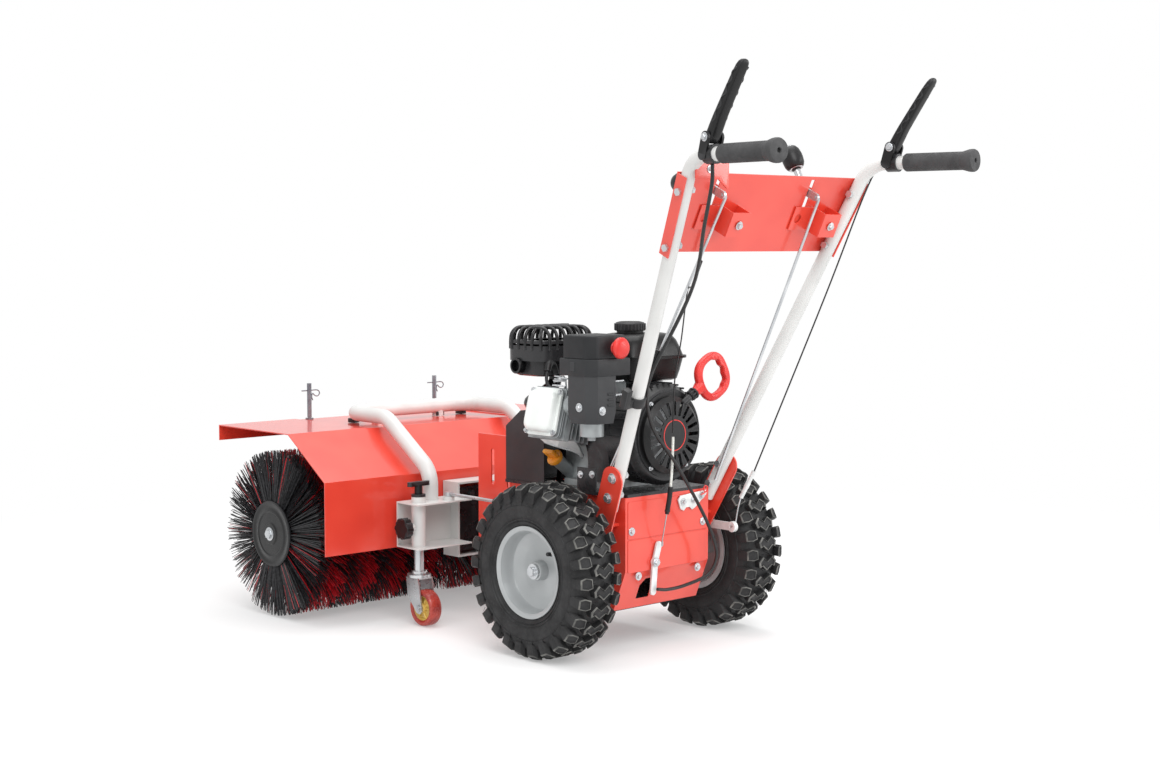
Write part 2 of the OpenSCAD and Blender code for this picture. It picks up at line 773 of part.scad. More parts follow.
module rims() {
  half = tyre_w / 2 - 8;
  lip = rim_d / 2;
  well = lip - 8 - gap;
  hub = axle_d / 2 + 11;
  color(light_grey) both_sides() translate([half_track, 0, axle_z]) rotate([0, 90, 0]) difference() {
    rotate_extrude() polygon([
      [axle_d / 2 + running, -30], [hub, -30], [hub, 10], [well - 22, 10], [well - 12, -6],
      [well - 3, -half],
      [lip, -half - 2], [lip, -half + 0.6], [well, -half + 3], [well, half - 3], [lip, half - 0.6],
      [lip, half + 2], [well - 3, half], [well - 9, 4], [well - 20, 13], [hub, 13], [hub, 26],
      [axle_d / 2 + running, 26]
    ]);
    rotate(200) translate([well - 12, 0, -10]) cylinder(r = 5, h = 40);
  }
}

module axle() {
  end = half_track + 27;
  color(zinc) translate([0, 0, axle_z]) {
    rod_x(axle_d / 2, -end, end);
    both_sides() {
      rod_x(axle_d / 2 + 5, end, end + 3);
      translate([end + 3, 0, 0]) rotate([0, 90, 0]) cylinder(r = 9, h = 7, $fn = 6);
    }
  }
}

// Engine
module on_cylinder() {
  translate([0, cylinder_y, crank_z]) rotate([0, cylinder_rise - 90, 0]) children();
}

module engine_block() {
  color(alloy) difference() {
    union() {
      translate([0, 0, crank_z]) rod_y(78, block_y[0], block_y[1]);
      box([-72, block_y[0], tray_top_z + 10], [80, block_y[1], crank_z + 30]);
      box([-86, block_y[0] + 10, tray_top_z], [96, block_y[1] - 10, tray_top_z + 12]);
      box([-30, -20, crank_z + 40], [70, 50, tank_z]);
      on_cylinder() {
        translate([0, 0, 60]) cylinder(r = 40, h = 92);
        for (k = [0 : 5])
          translate([-46, -48, 82 + 11 * k]) cube([92, 96, 3.5]);
        translate([-50, -50, 146]) cube([100, 100, 14]);
      }
      translate(dipstick_place) rotate([0, dipstick_tilt, 0])
        translate([0, 0, -dipstick_neck]) cylinder(r = 13, h = dipstick_neck + 14);
    }
    translate([0, 0, crank_z]) rod_y(crank_d / 2 + running, block_y[0] - 5, block_y[1] + 5);
    translate(dipstick_place) rotate([0, dipstick_tilt, 0])
      translate([0, 0, -dipstick_neck - 6]) cylinder(r = 8, h = 90);
  }
}

module valve_cover() {
  color(alloy) on_cylinder() {
    translate([0, 0, 160]) linear_extrude(5) round_rect([-48, -46], [48, 46], 12);
    translate([0, 0, 165]) linear_extrude(22) round_rect([-42, -38], [42, 38], 14);
    translate([0, 0, 187]) linear_extrude(9) round_rect([-37, -33], [37, 33], 14);
  }
}

module muffler() {
  low = muffler_box[0];
  high = muffler_box[1];
  top = muffler_z + 72;
  cage = [-7, -7];
  pipe_top = [low[0] + 62, low[1] + 30, muffler_z + 4];
  color(black) {
    translate([0, 0, muffler_z]) linear_extrude(72) round_rect(low, high, 26);
    pipe([[-140, cylinder_y + 50, crank_z + 52], [-140, pipe_top[1], crank_z + 52],
          pipe_top - [0, 0, 24], pipe_top], 13, 14);
    difference() {
      translate([0, 0, muffler_z + 30]) linear_extrude(66) round_rect(low + cage, high - cage, 30);
      translate([0, 0, muffler_z + 29]) linear_extrude(64.5)
        round_rect(low + cage * 0.7, high - cage * 0.7, 28);
      for (x = [low[0] + 12 : 18 : high[0] - 12])
        for (y = [low[1] + 4 : 36 : high[1] - 30])
          box([x, y, top + 10], [x + 11, y + 26, top + 40]);
      for (x = [low[0] + 20 : 18 : high[0] - 26])
        box([x, low[1] - 20, muffler_z + 44], [x + 11, high[1] + 20, top + 10]);
      for (y = [low[1] + 20 : 18 : high[1] - 26])
        box([low[0] - 20, y, muffler_z + 44], [high[0] + 20, y + 11, top + 10]);
    }
    for (y = [low[1] + 16, high[1] - 16])
      box([low[0] + 30, y - 5, top - 1], [high[0] - 30, y + 5, top + 23]);
    difference() {
      translate([low[0] + 1, high[1] - 34, muffler_z + 16]) rod_x(15, -12, 4);
      translate([low[0] + 1, high[1] - 34, muffler_z + 16]) rod_x(11, -14, -1);
    }
  }
}

module carb_cover() {
  wall = 3;
  inner = [[-182, -5], [-182, -67], [-164, -85], [-106, -85], [-106, -5]];
  wide = [[-3, 0], [-3, -3], [-2, -3], [0, -3], [0, 0]];
  color(black) difference() {
    union() {
      translate([0, 0, cover_z[0]]) linear_extrude(cover_z[3] - cover_z[0]) polygon(cover_corner);
      translate([0, 0, cover_z[1]]) linear_extrude(cover_z[2] - cover_z[1]) polygon(cover_corner + wide);
    }
    translate([0, 0, cover_z[0] - 1]) linear_extrude(cover_z[3] - cover_z[0] - wall + 1) polygon(inner);
    translate(knob_place) rod_y(6 + running, -10, 10);
  }
}

module choke_knob() {
  color(red) translate(knob_place) {
    rod_y(6, -5, 27);
    rotate([90, 0, 0]) translate([0, 0, 4]) rotate_extrude() polygon([
      [0, 0], [15, 0], [18, 4], [18, 10], [14, 15], [7, 18], [0, 19]
    ]);
  }
}

module carburettor() {
  head_y = cylinder_y - 50;
  color(zinc) {
    translate([carb_x, 0, carb_z]) rod_y(20, -74, head_y);
    translate([carb_x, carb_y, cover_z[0] - 26]) cylinder(r = 23, h = 40);
    translate([carb_x, carb_y, cover_z[0] - 34]) cylinder(r = 8, h = 20);
    box([carb_x - 26, carb_y - 26, cover_z[0] + 6], [carb_x + 26, carb_y + 20, carb_z]);
    box([carb_x, carb_y - 8, carb_z - 8], [-106, carb_y + 8, carb_z + 8]);
  }
}

module fuel_tank() {
  low = tank_box[0];
  high = tank_box[1];
  lip = [6, 6];
  color(black) {
    translate([0, 0, tank_z]) linear_extrude(18) round_rect(low + [14, 12], high - [14, 12], 22);
    translate([0, 0, tank_z + 18]) linear_extrude(tank_h - 36) round_rect(low, high, 26);
    translate([0, 0, tank_z + tank_h - 18]) linear_extrude(18) round_rect(low + [10, 9], high - [10, 9], 24);
    translate([0, 0, tank_seam_z - 2]) linear_extrude(4) round_rect(low - lip, high + lip, 28);
    translate(cap_place) cylinder(r = fuel_cap_d / 2 - 8, h = 12);
  }
}

module fuel_cap() {
  grooves = 12;
  color(black) translate(cap_place) difference() {
    translate([0, 0, gap]) cylinder(r = fuel_cap_d / 2, h = 22);
    cylinder(r = fuel_cap_d / 2 - 8 + running, h = 13);
    for (k = [0 : grooves - 1])
      rotate(k * 360 / grooves) translate([fuel_cap_d / 2 + 2, 0, 6]) cylinder(r = 4, h = 20);
  }
}

module dipstick() {
  color(orange) translate(dipstick_place) rotate([0, dipstick_tilt, 0]) {
    translate([0, 0, -24]) cylinder(r = 8 - running, h = 40);
    translate([0, 0, 14 + gap]) cylinder(r = 14, h = 8);
    translate([-12, -4, 20]) cube([24, 8, 14]);
  }
}

// Shell round the flywheel, open to the block
module fan_shroud() {
  wall = 2.5;
  color(black) translate([0, 0, crank_z]) rotate([90, 0, 0]) rotate_extrude() polygon([
    [shroud_r - wall, -block_y[0]], [shroud_r, -block_y[0]], [shroud_r, -shroud_back_y - 14],
    [shroud_r - 10, -shroud_back_y], [grille_r - 2, -shroud_back_y], [grille_r - 2, -shroud_back_y - wall],
    [shroud_r - 12, -shroud_back_y - wall], [shroud_r - wall, -shroud_back_y - 15]
  ]);
}

module recoil_cover() {
  wall = 2.5;
  back = -recoil_back_y;
  front = -shroud_back_y;
  slots = 20;
  color(black) translate([0, 0, crank_z]) difference() {
    union() {
      rotate([90, 0, 0]) rotate_extrude() polygon([
        [0, back - wall], [grille_r - 11, back - wall], [grille_r - wall, back - 12],
        [grille_r - wall, front],
        [grille_r + 8, front], [grille_r + 8, front + wall], [grille_r, front + wall], [grille_r, back - 10],
        [grille_r - 10, back], [0, back]
      ]);
      rotate([0, pull_angle, 0]) translate([-rope_off, rope_y, grille_r - 20])
        cylinder(r = 7, h = pull_start - grille_r + 18);
    }
    for (k = [0 : slots - 1])
      rotate([0, k * 360 / slots, 0])
        box([38, recoil_back_y - 1, -3.5], [grille_r - 9, recoil_back_y + 4, 3.5]);
    rotate([0, pull_angle, 0]) translate([-rope_off, rope_y, 20])
      cylinder(r = rope_r + running, h = 100);
  }
}

// Rope, bush and rounded loop along the pull direction
module starter_handle() {
  half = 46;
  color(red) translate([0, rope_y, crank_z]) rotate([0, pull_angle, 0]) translate([-rope_off, 0, 0]) {
    translate([0, 0, loop_reach]) rotate([90, 0, 0]) translate([0, 0, -7]) linear_extrude(14) difference() {
      round_rect([-half, -half], [half, half], 38);
      round_rect([12 - half, 23 - half], [half - 12, half - 17], 22);
    }
    translate([0, 0, pull_start + gap]) cylinder(r1 = 9, r2 = 11, h = loop_reach - half - pull_start + 4);
    translate([0, 0, -40]) cylinder(r = rope_r, h = pull_start + 45);
  }
}

module belt_guard() {
  z = tray_top_z;
  top = z + guard_h;
  line = [[guard_y[0], z], [guard_y[1], z], [guard_y[1], top - 42], [guard_y[1] - 44, top - 9],
          [guard_y[0], top]];
  cavity = [[guard_y[0] - 1, z - 1], [guard_y[1] - guard_wall, z - 1], [guard_y[1] - guard_wall, top - 43],
            [guard_y[1] - 45, top - 11], [guard_y[0] - 1, top - guard_wall]];
  color(dark_grey) difference() {
    along_x(-guard_half, guard_half) polygon(line);
    along_x(guard_wall - guard_half, guard_half - guard_wall) polygon(cavity);
  }
}

// V-belt pulley with flanges, along Y
module pulley(r) {
  mid = (pulley_y[0] + pulley_y[1]) / 2;
  rod_y(r, pulley_y[0], pulley_y[1]);
  for (s = [-1, 1])
    translate([0, mid + s * (belt_w / 2 + 3), 0]) rod_y(r + belt_t, -2, 2);
}

module crankshaft() {
  color(zinc) translate([0, 0, crank_z]) {
    rod_y(crank_d / 2, shroud_back_y + 8, pulley_y[1] + 14);
    pulley(crank_pulley_r);
    rod_y(shroud_r - 14, shroud_back_y + 20, block_y[0] - 8);
  }
}

// Outline of a belt loop grown by g beyond the two pulley radii
module belt_loop(g) {
  small = crank_pulley_r + g;
  large = drive_pulley_r + g;
  tilt = asin((large - small) / belt_span);
  translate([0, belt_span]) circle(small);
  circle(large);
  polygon(mirrored([[large * cos(tilt), large * sin(tilt)],
                    [small * cos(tilt), belt_span + small * sin(tilt)]]));
}

module drive_belt() {
  mid = (pulley_y[0] + pulley_y[1]) / 2;
  color(black) translate([0, 0, brush_z]) along_y(mid - belt_w / 2, mid + belt_w / 2) difference() {
    belt_loop(gap + belt_t);
    belt_loop(gap);
  }
}

// Lower shaft with its pulley, and the bell of the ball coupling at the swivel axis
module drive_shaft() {
  mouth = 12;
  color(zinc) translate([0, 0, brush_z]) {
    pulley(drive_pulley_r);
    rod_y(drive_shaft_r, pulley_y[0] - 6, swivel_y - ball_r - 6);
    difference() {
      rod_y(bell_r, swivel_y - ball_r - 7, swivel_y + mouth);
      translate([0, swivel_y, 0]) sphere(ball_r + gap);
      translate([0, swivel_y, 0]) rod_y(ball_r + gap, 0, mouth + 1);
    }
  }
}

module input_shaft() {
  color(zinc) translate([0, 0, brush_z]) {
    translate([0, swivel_y, 0]) sphere(ball_r);
    rod_y(input_r, swivel_y, yoke_y[1] + 30);
  }
}

// White arms that the clutch cables pull
module clutch_arm_left() {
  back = -rear_reach - 3 - gap;
  low = [arm_stud[0] - 5, window[0][1] + 16];
  color(alloy) difference() {
    along_y(back - 4, back) {
      link_shape(low, arm_stud, 7);
      link_shape(arm_stud, arm_stud + [10, 32], 7);
      translate(arm_stud) circle(arm_stud_r + 4);
    }
    translate([arm_stud[0], 0, arm_stud[1]]) rod_y(arm_stud_r + running, back - 5, back + 1);
  }
}

module clutch_arm_right() {
  axis = [-52, 222];
  tyre_clear = 23;
  plane = half_track - tyre_w / 2 - tyre_clear;
  color(alloy) {
    translate([0, axis[0], axis[1]]) {
      rod_x(9, half_frame + gap, half_frame + 12);
      rod_x(7, half_frame + 11, plane + 1);
    }
    along_x(plane, plane + 5) link_shape(axis, [-134, 222], 8);
  }
}

// Brush head
module hood() {
  notch = [gearbox_w / 2 + 6, brush_z + 40];
  color(red) {
    difference() {
      along_x(-wing_x, wing_x) polygon(strip(hood_under, hood_t));
      box([-notch[0], hood_back_y - 10, 0], [notch[0], hood_back_y + 40, notch[1]]);
      for (x = [-post_x, post_x])
        translate([x, post_y, hood_top_z - 20]) cylinder(r = post_stud_r + running, h = 40);
    }
    both_sides() along_x(wing_x - wing_lap, hood_w / 2) polygon(strip(hood_line, hood_t));
  }
}

// Posts with their feet under the sheet, and R-clips through their tops
// Posts with a collar on the hood, a stud and nut below it, and a cross hole for a clip
module hood_pins() {
  sheet_top = hood_top_z - hood_t;
  nut_h = 6;
  relief = 2;
  collar_r = post_d / 2 + 4;
  low = sheet_top - hood_t - nut_h;
  seat = sheet_top + post_collar + relief;
  color(zinc) for (x = [-post_x, post_x]) translate([x, post_y, 0]) {
    translate([0, 0, low]) cylinder(r = post_stud_r, h = seat - low);
    translate([0, 0, low]) cylinder(r = collar_r, h = nut_h);
    translate([0, 0, sheet_top]) cylinder(r = collar_r, h = post_collar);
    difference() {
      translate([0, 0, seat]) cylinder(r = post_d / 2, h = sheet_top + post_h - seat);
      translate([0, 0, sheet_top + post_h - 16]) rod_x(1.6, -post_d, post_d);
    }
  }
}

module guard_tube() {
  low_z = bracket_z[1];
  rise = guard_z - hood_slope_z - 8;
  knee = [guard_leg_y, hood_slope_z + 8];
  top_y = guard_leg_y + rise / tan(slope_angle);
  half = [[guard_x, knee[0], low_z], [guard_x, knee[0], knee[1]], [guard_x, top_y, guard_z],
          [guard_x, guard_bar_y, guard_z]];
  route = concat(half, [for (q = reversed(half)) [-q[0], q[1], q[2]]]);
  color(light_grey) difference() {
    pipe(route, guard_r, guard_bend);
    pipe(concat([route[0] - [0, 0, 2]], [for (i = [1 : 6]) route[i]], [route[7] - [0, 0, 2]]),
         guard_r - tube_wall, guard_bend);
  }
  color(black) for (x = [-85, 85]) translate([x, guard_bar_y, hood_top_z - hood_t]) difference() {
    cylinder(r = 12, h = 16);
    translate([0, 0, guard_z - hood_top_z + hood_t]) rod_x(guard_r, -30, 30);
  }
}

module castor_brackets() {
  floor_y = bracket_y[1];
  color(light_grey) both_sides() difference() {
    union() {
      box([bracket_x[0], floor_y - bracket_t, bracket_z[0]], [bracket_x[1], floor_y, bracket_z[1]]);
      for (z = [bracket_z[0], bracket_z[1] - bracket_t])
        box([bracket_x[0], bracket_y[0], z], [bracket_x[1], floor_y, z + bracket_t]);
      translate([castor_x, castor_y, bracket_z[0]]) cylinder(r = sleeve_r, h = sleeve_top - bracket_z[0]);
      translate([castor_x, castor_y, 200]) rod_x(7, 0, sleeve_r + 9);
    }
    translate([castor_x, castor_y, bracket_z[0] - 5]) cylinder(r = stem_r + running, h = 130);
  }
  color(black) both_sides() translate([castor_x + sleeve_r + 9, castor_y, 200]) {
    rod_x(9, 0, 6);
    translate([6, 0, 0]) rotate([0, 90, 0]) linear_extrude(14) {
      circle(17);
      for (k = [0 : 5]) rotate(60 * k) translate([16, 0]) circle(6);
    }
  }
}

module swivel_yoke() {
  color(light_grey) {
    for (i = [0, 1]) {
      z = i == 0 ? yoke_z[0] : yoke_z[1] - yoke_wall;
      box([-yoke_half, yoke_y[0], z], [yoke_half, yoke_y[1], z + yoke_wall]);
      lug_z = i == 0 ? yoke_z[0] : yoke_z[1] - lug_t;
      difference() {
        translate([0, 0, lug_z]) linear_extrude(lug_t) {
          translate([-tongue_half, swivel_y]) square([2 * tongue_half, yoke_y[0] + 5 - swivel_y]);
          translate([0, swivel_y]) circle(tongue_half);
        }
        translate([0, swivel_y, lug_z - 1]) cylinder(r = swivel_pin_r + running, h = lug_t + 2);
      }
    }
    both_sides() box([yoke_half - yoke_wall, yoke_y[0], yoke_z[0]], [yoke_half, yoke_y[1], yoke_z[1]]);
    translate(tie_eye) difference() {
      cylinder(r = 12, h = 8);
      translate([0, 0, -1]) cylinder(r = 4 + running, h = 10);
    }
  }
}

module brush_gearbox() {
  half = gearbox_w / 2;
  plate_y = yoke_y[0] + 6;
  plate_half = yoke_half - yoke_wall;
  floor_z = [yoke_z[0] + lug_t, yoke_z[1] - lug_t];
  arm_h = 34;
  color(black) difference() {
    union() {
      box([-plate_half, plate_y, floor_z[0]], [plate_half, plate_y + 8, floor_z[1]]);
      box([-half, plate_y + 7, brush_z - arm_h], [half, brush_y, brush_z + arm_h]);
      translate([0, brush_y, brush_z]) rod_x(60, -half, half);
      for (x = [-60, 60])
        for (z = [floor_z[0] + 14, floor_z[1] - 14])
          translate([x, plate_y, z]) rotate([90, 0, 0]) cylinder(r = 7, h = 5, $fn = 6);
    }
    translate([0, brush_y, brush_z]) rod_x(brush_shaft_d / 2 + running, -half - 1, half + 1);
    translate([0, 0, brush_z]) rod_y(input_r + running, plate_y - 1, yoke_y[1] + 31);
  }
}

module brush_shaft() {
  end = brush_l / 2;
  dish_r = dish_d / 2;
  shaft_r = brush_shaft_d / 2;
  color(dark_grey) translate([0, brush_y, brush_z]) {
    rod_x(shaft_r, -end, end);
    both_sides() {
      rod_x(26, gearbox_w / 2 + gap, gearbox_w / 2 + 5);
      translate([end + gap, 0, 0]) rotate([0, 90, 0]) rotate_extrude() polygon([
        [0, -gap - 1], [shaft_r, -gap - 1], [shaft_r, 0], [dish_r - 4, 0], [dish_r, 1], [dish_r, 3],
        [dish_r - 5, 4], [dish_r - 12, 2.5], [22, 2.5], [19, 4], [0, 4]
      ]);
      translate([end + 4, 0, 0]) rotate([0, 90, 0]) cylinder(r = 11, h = 8, $fn = 6);
    }
  }
}

// Backing tube with tufts grown out of its face, one half of the brush
module bristles() {
  x0 = gearbox_w / 2 + 6;
  x1 = brush_l / 2;
  columns = 2 * tufts_round;
  rows = 2 * tuft_rows + 1;
  back_r = backing_d / 2;
  bore_r = brush_shaft_d / 2 + gap;
  tip_r = brush_d / 2;
  tip_turn = 3.2;
  tip_half = 7;
  ring = rows + 1;
  bore_at = ring * columns;
  tip_at = bore_at + 2 * columns;
  function cell(x, r, a) = [x, r * cos(a), r * sin(a)];
  function at(i, j) = i * columns + j % columns;
  function inner(e, j) = bore_at + e * columns + j % columns;
  function row_x(i) = x0 + (x1 - x0) * i / rows;
  function column_a(j) = 360 * j / columns;
  tufts = [for (m = [0 : tuft_rows - 1]) for (k = [0 : tufts_round - 1]) [2 * m + 1, 2 * k + m % 2]];
  function is_tuft(i, j) = i % 2 == 1 && j % 2 == ((i - 1) / 2) % 2;
  tip_points = [for (t = tufts)
    let (x = (row_x(t[0]) + row_x(t[0] + 1)) / 2, a = column_a(t[1] + 0.5))
    for (c = [[-1, -1], [1, -1], [1, 1], [-1, 1]])
      cell(x + c[0] * tip_half, tip_r, a + c[1] * tip_turn)];
  points = concat(
    [for (i = [0 : rows]) for (j = [0 : columns - 1]) cell(row_x(i), back_r, column_a(j))],
    [for (e = [0, 1]) for (j = [0 : columns - 1]) cell(row_x(e * rows), bore_r, column_a(j))],
    tip_points
  );
  backing = [for (i = [0 : rows - 1]) for (j = [0 : columns - 1]) if (!is_tuft(i, j))
    [at(i, j), at(i + 1, j), at(i + 1, j + 1), at(i, j + 1)]];
  ends = [for (j = [0 : columns - 1]) each [
    [at(0, j), at(0, j + 1), inner(0, j + 1), inner(0, j)],
    [inner(0, j), inner(0, j + 1), inner(1, j + 1), inner(1, j)],
    [at(rows, j + 1), at(rows, j), inner(1, j), inner(1, j + 1)]]];
  sides = [for (n = [0 : len(tufts) - 1])
    let (i = tufts[n][0], j = tufts[n][1], b = tip_at + 4 * n,
         foot = [at(i, j), at(i + 1, j), at(i + 1, j + 1), at(i, j + 1)])
    each concat([for (e = [0 : 3]) [foot[e], foot[(e + 1) % 4], b + (e + 1) % 4, b + e]],
                [[b, b + 1, b + 2, b + 3]])];
  triangles = [for (q = concat(backing, ends, sides)) each [[q[0], q[1], q[2]], [q[0], q[2], q[3]]]];
  color(black) translate([0, brush_y, brush_z]) polyhedron(points, triangles);
}

module bristles_right() bristles();
module bristles_left() mirror([1, 0, 0]) bristles();

// Castors
module castor_stem() {
  low = swivel_plate_z + 6;
  top = sleeve_top - 6;
  color(zinc) translate([castor_x, castor_y, 0]) difference() {
    union() {
      translate([0, 0, low]) cylinder(r = stem_r, h = top - low);
      translate([0, 0, low]) cylinder(r = stem_r + 5, h = 6);
    }
    translate([0, 0, top - stem_travel - 30]) cylinder(r = screw_r + running, h = stem_travel + 40);
    translate([0, 0, low - 1]) cylinder(r = 5 + running, h = 16);
  }
}

module castor_knob() {
  top = sleeve_top;
  color(black) translate([castor_x, castor_y, top]) {
    translate([0, 0, gap]) cylinder(r = sleeve_r, h = 5);
    translate([0, 0, 5]) cylinder(r = 8, h = 20);
    translate([0, 0, 22]) linear_extrude(9) link_shape([-21, 0], [21, 0], 6);
    translate([0, 0, -stem_travel - 20]) cylinder(r = screw_r, h = stem_travel + 25);
  }
}

module castor_fork() {
  leg_x = castor_w / 2 + 2;
  axis = [-castor_trail, castor_r];
  color(zinc) translate([castor_x, castor_y, 0]) {
    difference() {
      translate([0, 0, swivel_plate_z]) cylinder(r = 24, h = 6 - gap);
      translate([0, 0, swivel_plate_z - 1]) cylinder(r = 2, h = 2);
    }
    translate([0, 0, swivel_plate_z + 5]) cylinder(r = 5, h = 14);
    box([-leg_x - fork_t, -20, swivel_plate_z - fork_t], [leg_x + fork_t, 18, swivel_plate_z]);
    both_sides() along_x(leg_x, leg_x + fork_t)
      polygon([[18, swivel_plate_z], [-20, swivel_plate_z], [axis[0] - 11, axis[1] - 4],
               [axis[0] - 5, axis[1] - 11], [axis[0] + 6, axis[1] - 10], [14, castor_d - 14]]);
    translate([0, axis[0], axis[1]]) {
      rod_x(4, -leg_x - 8, leg_x + 8);
      both_sides() rod_x(7, leg_x + fork_t, leg_x + 7);
    }
  }
}

module castor_wheel() {
  half = castor_w / 2;
  axis = [castor_x, castor_y - castor_trail, castor_r];
  color(castor_red) translate(axis) rotate([0, 90, 0]) rotate_extrude()
    polygon([
      [4 + running, -half - 1], [10, -half - 1], [12, -half + 3], [castor_r - 10, -half + 3],
      [castor_r - 8, -half], [castor_r - 3, -half + 2], [castor_r, -half + 7], [castor_r, half - 7],
      [castor_r - 3, half - 2], [castor_r - 8, half], [castor_r - 10, half - 3], [12, half - 3],
      [10, half + 1], [4 + running, half + 1]
    ]);
}

module castor_stem_right() castor_stem();
module castor_stem_left() mirror([1, 0, 0]) castor_stem();
module castor_knob_right() castor_knob();
module castor_knob_left() mirror([1, 0, 0]) castor_knob();
module castor_fork_right() castor_fork();
module castor_fork_left() mirror([1, 0, 0]) castor_fork();
module castor_wheel_right() castor_wheel();
module castor_wheel_left() mirror([1, 0, 0]) castor_wheel();

// Rod from the yoke's eye back along the left side plate
module tie_rod() {
  color(zinc) translate(tie_eye + [0, 0, 8]) {
    translate([0, 0, gap - 8]) cylinder(r = 4, h = 16);
    translate([0, 0, gap]) cylinder(r = 9, h = 8);
    translate([0, 0, gap + 4]) rod_y(3.5, -330, 0);
  }
}

// Shift of every piece from the axle to the middle of the machine
module place() {
  translate([0, frame_shift, 0]) children();
}

place() side_plate_left();
place() side_plate_right();
place() engine_tray();
place() rear_cover();
place() swivel_tower();
place() axle_bearings();
place() handle_left();
place() handle_right();
place() control_panel();
place() lever_mounts();
place() grips();
place() engine_block();
place() valve_cover();
place() muffler();
place() carb_cover();
place() carburettor();
place() fuel_tank();
place() fan_shroud();
place() recoil_cover();
place() belt_guard();
place() control_cables();
place() frame_bolts();
place() crankshaft();
place() axle();
place() rims();
place() tyre_left();
place() tyre_right();
place() drive_shaft();
place() drive_belt();
place() hood();
place() guard_tube();
place() castor_brackets();
place() swivel_yoke();
place() brush_gearbox();
place() input_shaft();
place() hood_pins();
place() brush_shaft();
place() bristles_left();
place() bristles_right();
place() castor_stem_left();
place() castor_stem_right();
place() castor_fork_left();
place() castor_fork_right();
place() castor_wheel_left();
place() castor_wheel_right();
place() castor_knob_left();
place() castor_knob_right();
place() clutch_lever_left();
place() clutch_lever_right();
place() clutch_arm_left();
place() clutch_arm_right();
place() gear_lever();
place() gear_rod();
place() swivel_lever();
place() swivel_rod();
place() tie_rod();
place() starter_handle();
place() fuel_cap();
place() dipstick();
place() choke_knob();
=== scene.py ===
import random
from math import copysign, cos, pi, radians, sin, tau

import bmesh
import bpy
from mathutils import Matrix, Vector


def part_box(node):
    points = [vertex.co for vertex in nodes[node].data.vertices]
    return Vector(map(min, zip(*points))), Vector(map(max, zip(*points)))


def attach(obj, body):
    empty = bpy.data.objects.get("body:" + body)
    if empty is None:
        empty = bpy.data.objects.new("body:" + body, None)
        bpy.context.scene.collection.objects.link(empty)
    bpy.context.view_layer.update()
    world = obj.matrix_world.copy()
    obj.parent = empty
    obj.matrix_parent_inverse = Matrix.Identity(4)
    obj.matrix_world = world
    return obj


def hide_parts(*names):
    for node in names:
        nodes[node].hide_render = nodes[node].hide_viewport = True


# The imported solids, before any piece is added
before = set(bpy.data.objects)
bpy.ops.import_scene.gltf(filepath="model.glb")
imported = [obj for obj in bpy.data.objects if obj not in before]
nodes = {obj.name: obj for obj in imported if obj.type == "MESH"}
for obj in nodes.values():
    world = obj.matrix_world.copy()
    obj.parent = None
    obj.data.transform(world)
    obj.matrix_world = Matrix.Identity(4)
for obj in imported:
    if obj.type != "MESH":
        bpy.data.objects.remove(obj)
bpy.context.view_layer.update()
# The solids by name
# The scene that takes the pieces, lamps and camera
scene = bpy.context.scene

# One millimetre in the frame's metres
MM = 0.001
# Two corners of the wheel axle, and from them its place along the machine
axle_low, axle_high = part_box("axle")
SHIFT = (axle_low[1] + axle_high[1]) / 2
# Height of the wheel axle
AXLE_Z = 165
# Height of the crankshaft
CRANK_Z = 412
# From the middle of the machine to the middle of a tyre
HALF_TRACK = 223
# Axis of the brush: its distance ahead of the axle, and its height
BRUSH = (655, 175)
# Name of each side and the sign of its X
SIDES = (("left", -1), ("right", 1))
# Directions of the machine
RIGHT = (1, 0, 0)
LEFT = (-1, 0, 0)
AHEAD = (0, 1, 0)
BACK = (0, -1, 0)
UP = (0, 0, 1)


def at(x, y, z):
    """Millimetres from the floor point under the wheel axle, as a point of the frame."""
    return Vector((x * MM, y * MM + SHIFT, z * MM))


# Matrix for upright shapes
UPRIGHT = Matrix.Translation(at(0, 0, 0)) @ Matrix.Scale(MM, 4)


# Colours and materials

def srgb(screen):
    """Screen colour from 0 to 255 as the linear colour a shader takes."""
    parts = [c / 255 for c in screen]
    linear = [c / 12.92 if c <= 0.04045 else ((c + 0.055) / 1.055) ** 2.4 for c in parts]
    return (*linear, 1.0)


def add_node(tree, kind, values):
    """New shader node with some of its inputs set."""
    node = tree.nodes.new("ShaderNode" + kind)
    for key, value in values.items():
        node.inputs[key].default_value = value
    return node


def noise(tree, coords, scale, detail):
    """Soft noise over the given coordinates."""
    node = add_node(tree, "TexNoise", {"Scale": scale, "Detail": detail})
    tree.links.new(coords, node.inputs["Vector"])
    return node.outputs["Fac"]


def spread(tree, value, low, high, out_low, out_high):
    """Maps a value from one range to another and holds it there."""
    ends = {"From Min": low, "From Max": high, "To Min": out_low, "To Max": out_high}
    node = add_node(tree, "MapRange", ends)
    node.clamp = True
    tree.links.new(value, node.inputs["Value"])
    return node.outputs["Result"]


def blend_colour(tree, factor, first, second):
    """Mixes two colours, each a fixed colour or another node's output."""
    node = tree.nodes.new("ShaderNodeMix")
    node.data_type = "RGBA"
    tree.links.new(factor, node.inputs["Factor"])
    for key, value in (("A", first), ("B", second)):
        socket = [s for s in node.inputs if s.name == key and s.type == "RGBA"][0]
        if isinstance(value, tuple):
            socket.default_value = value
        else:
            tree.links.new(value, socket)
    return [s for s in node.outputs if s.type == "RGBA"][0]


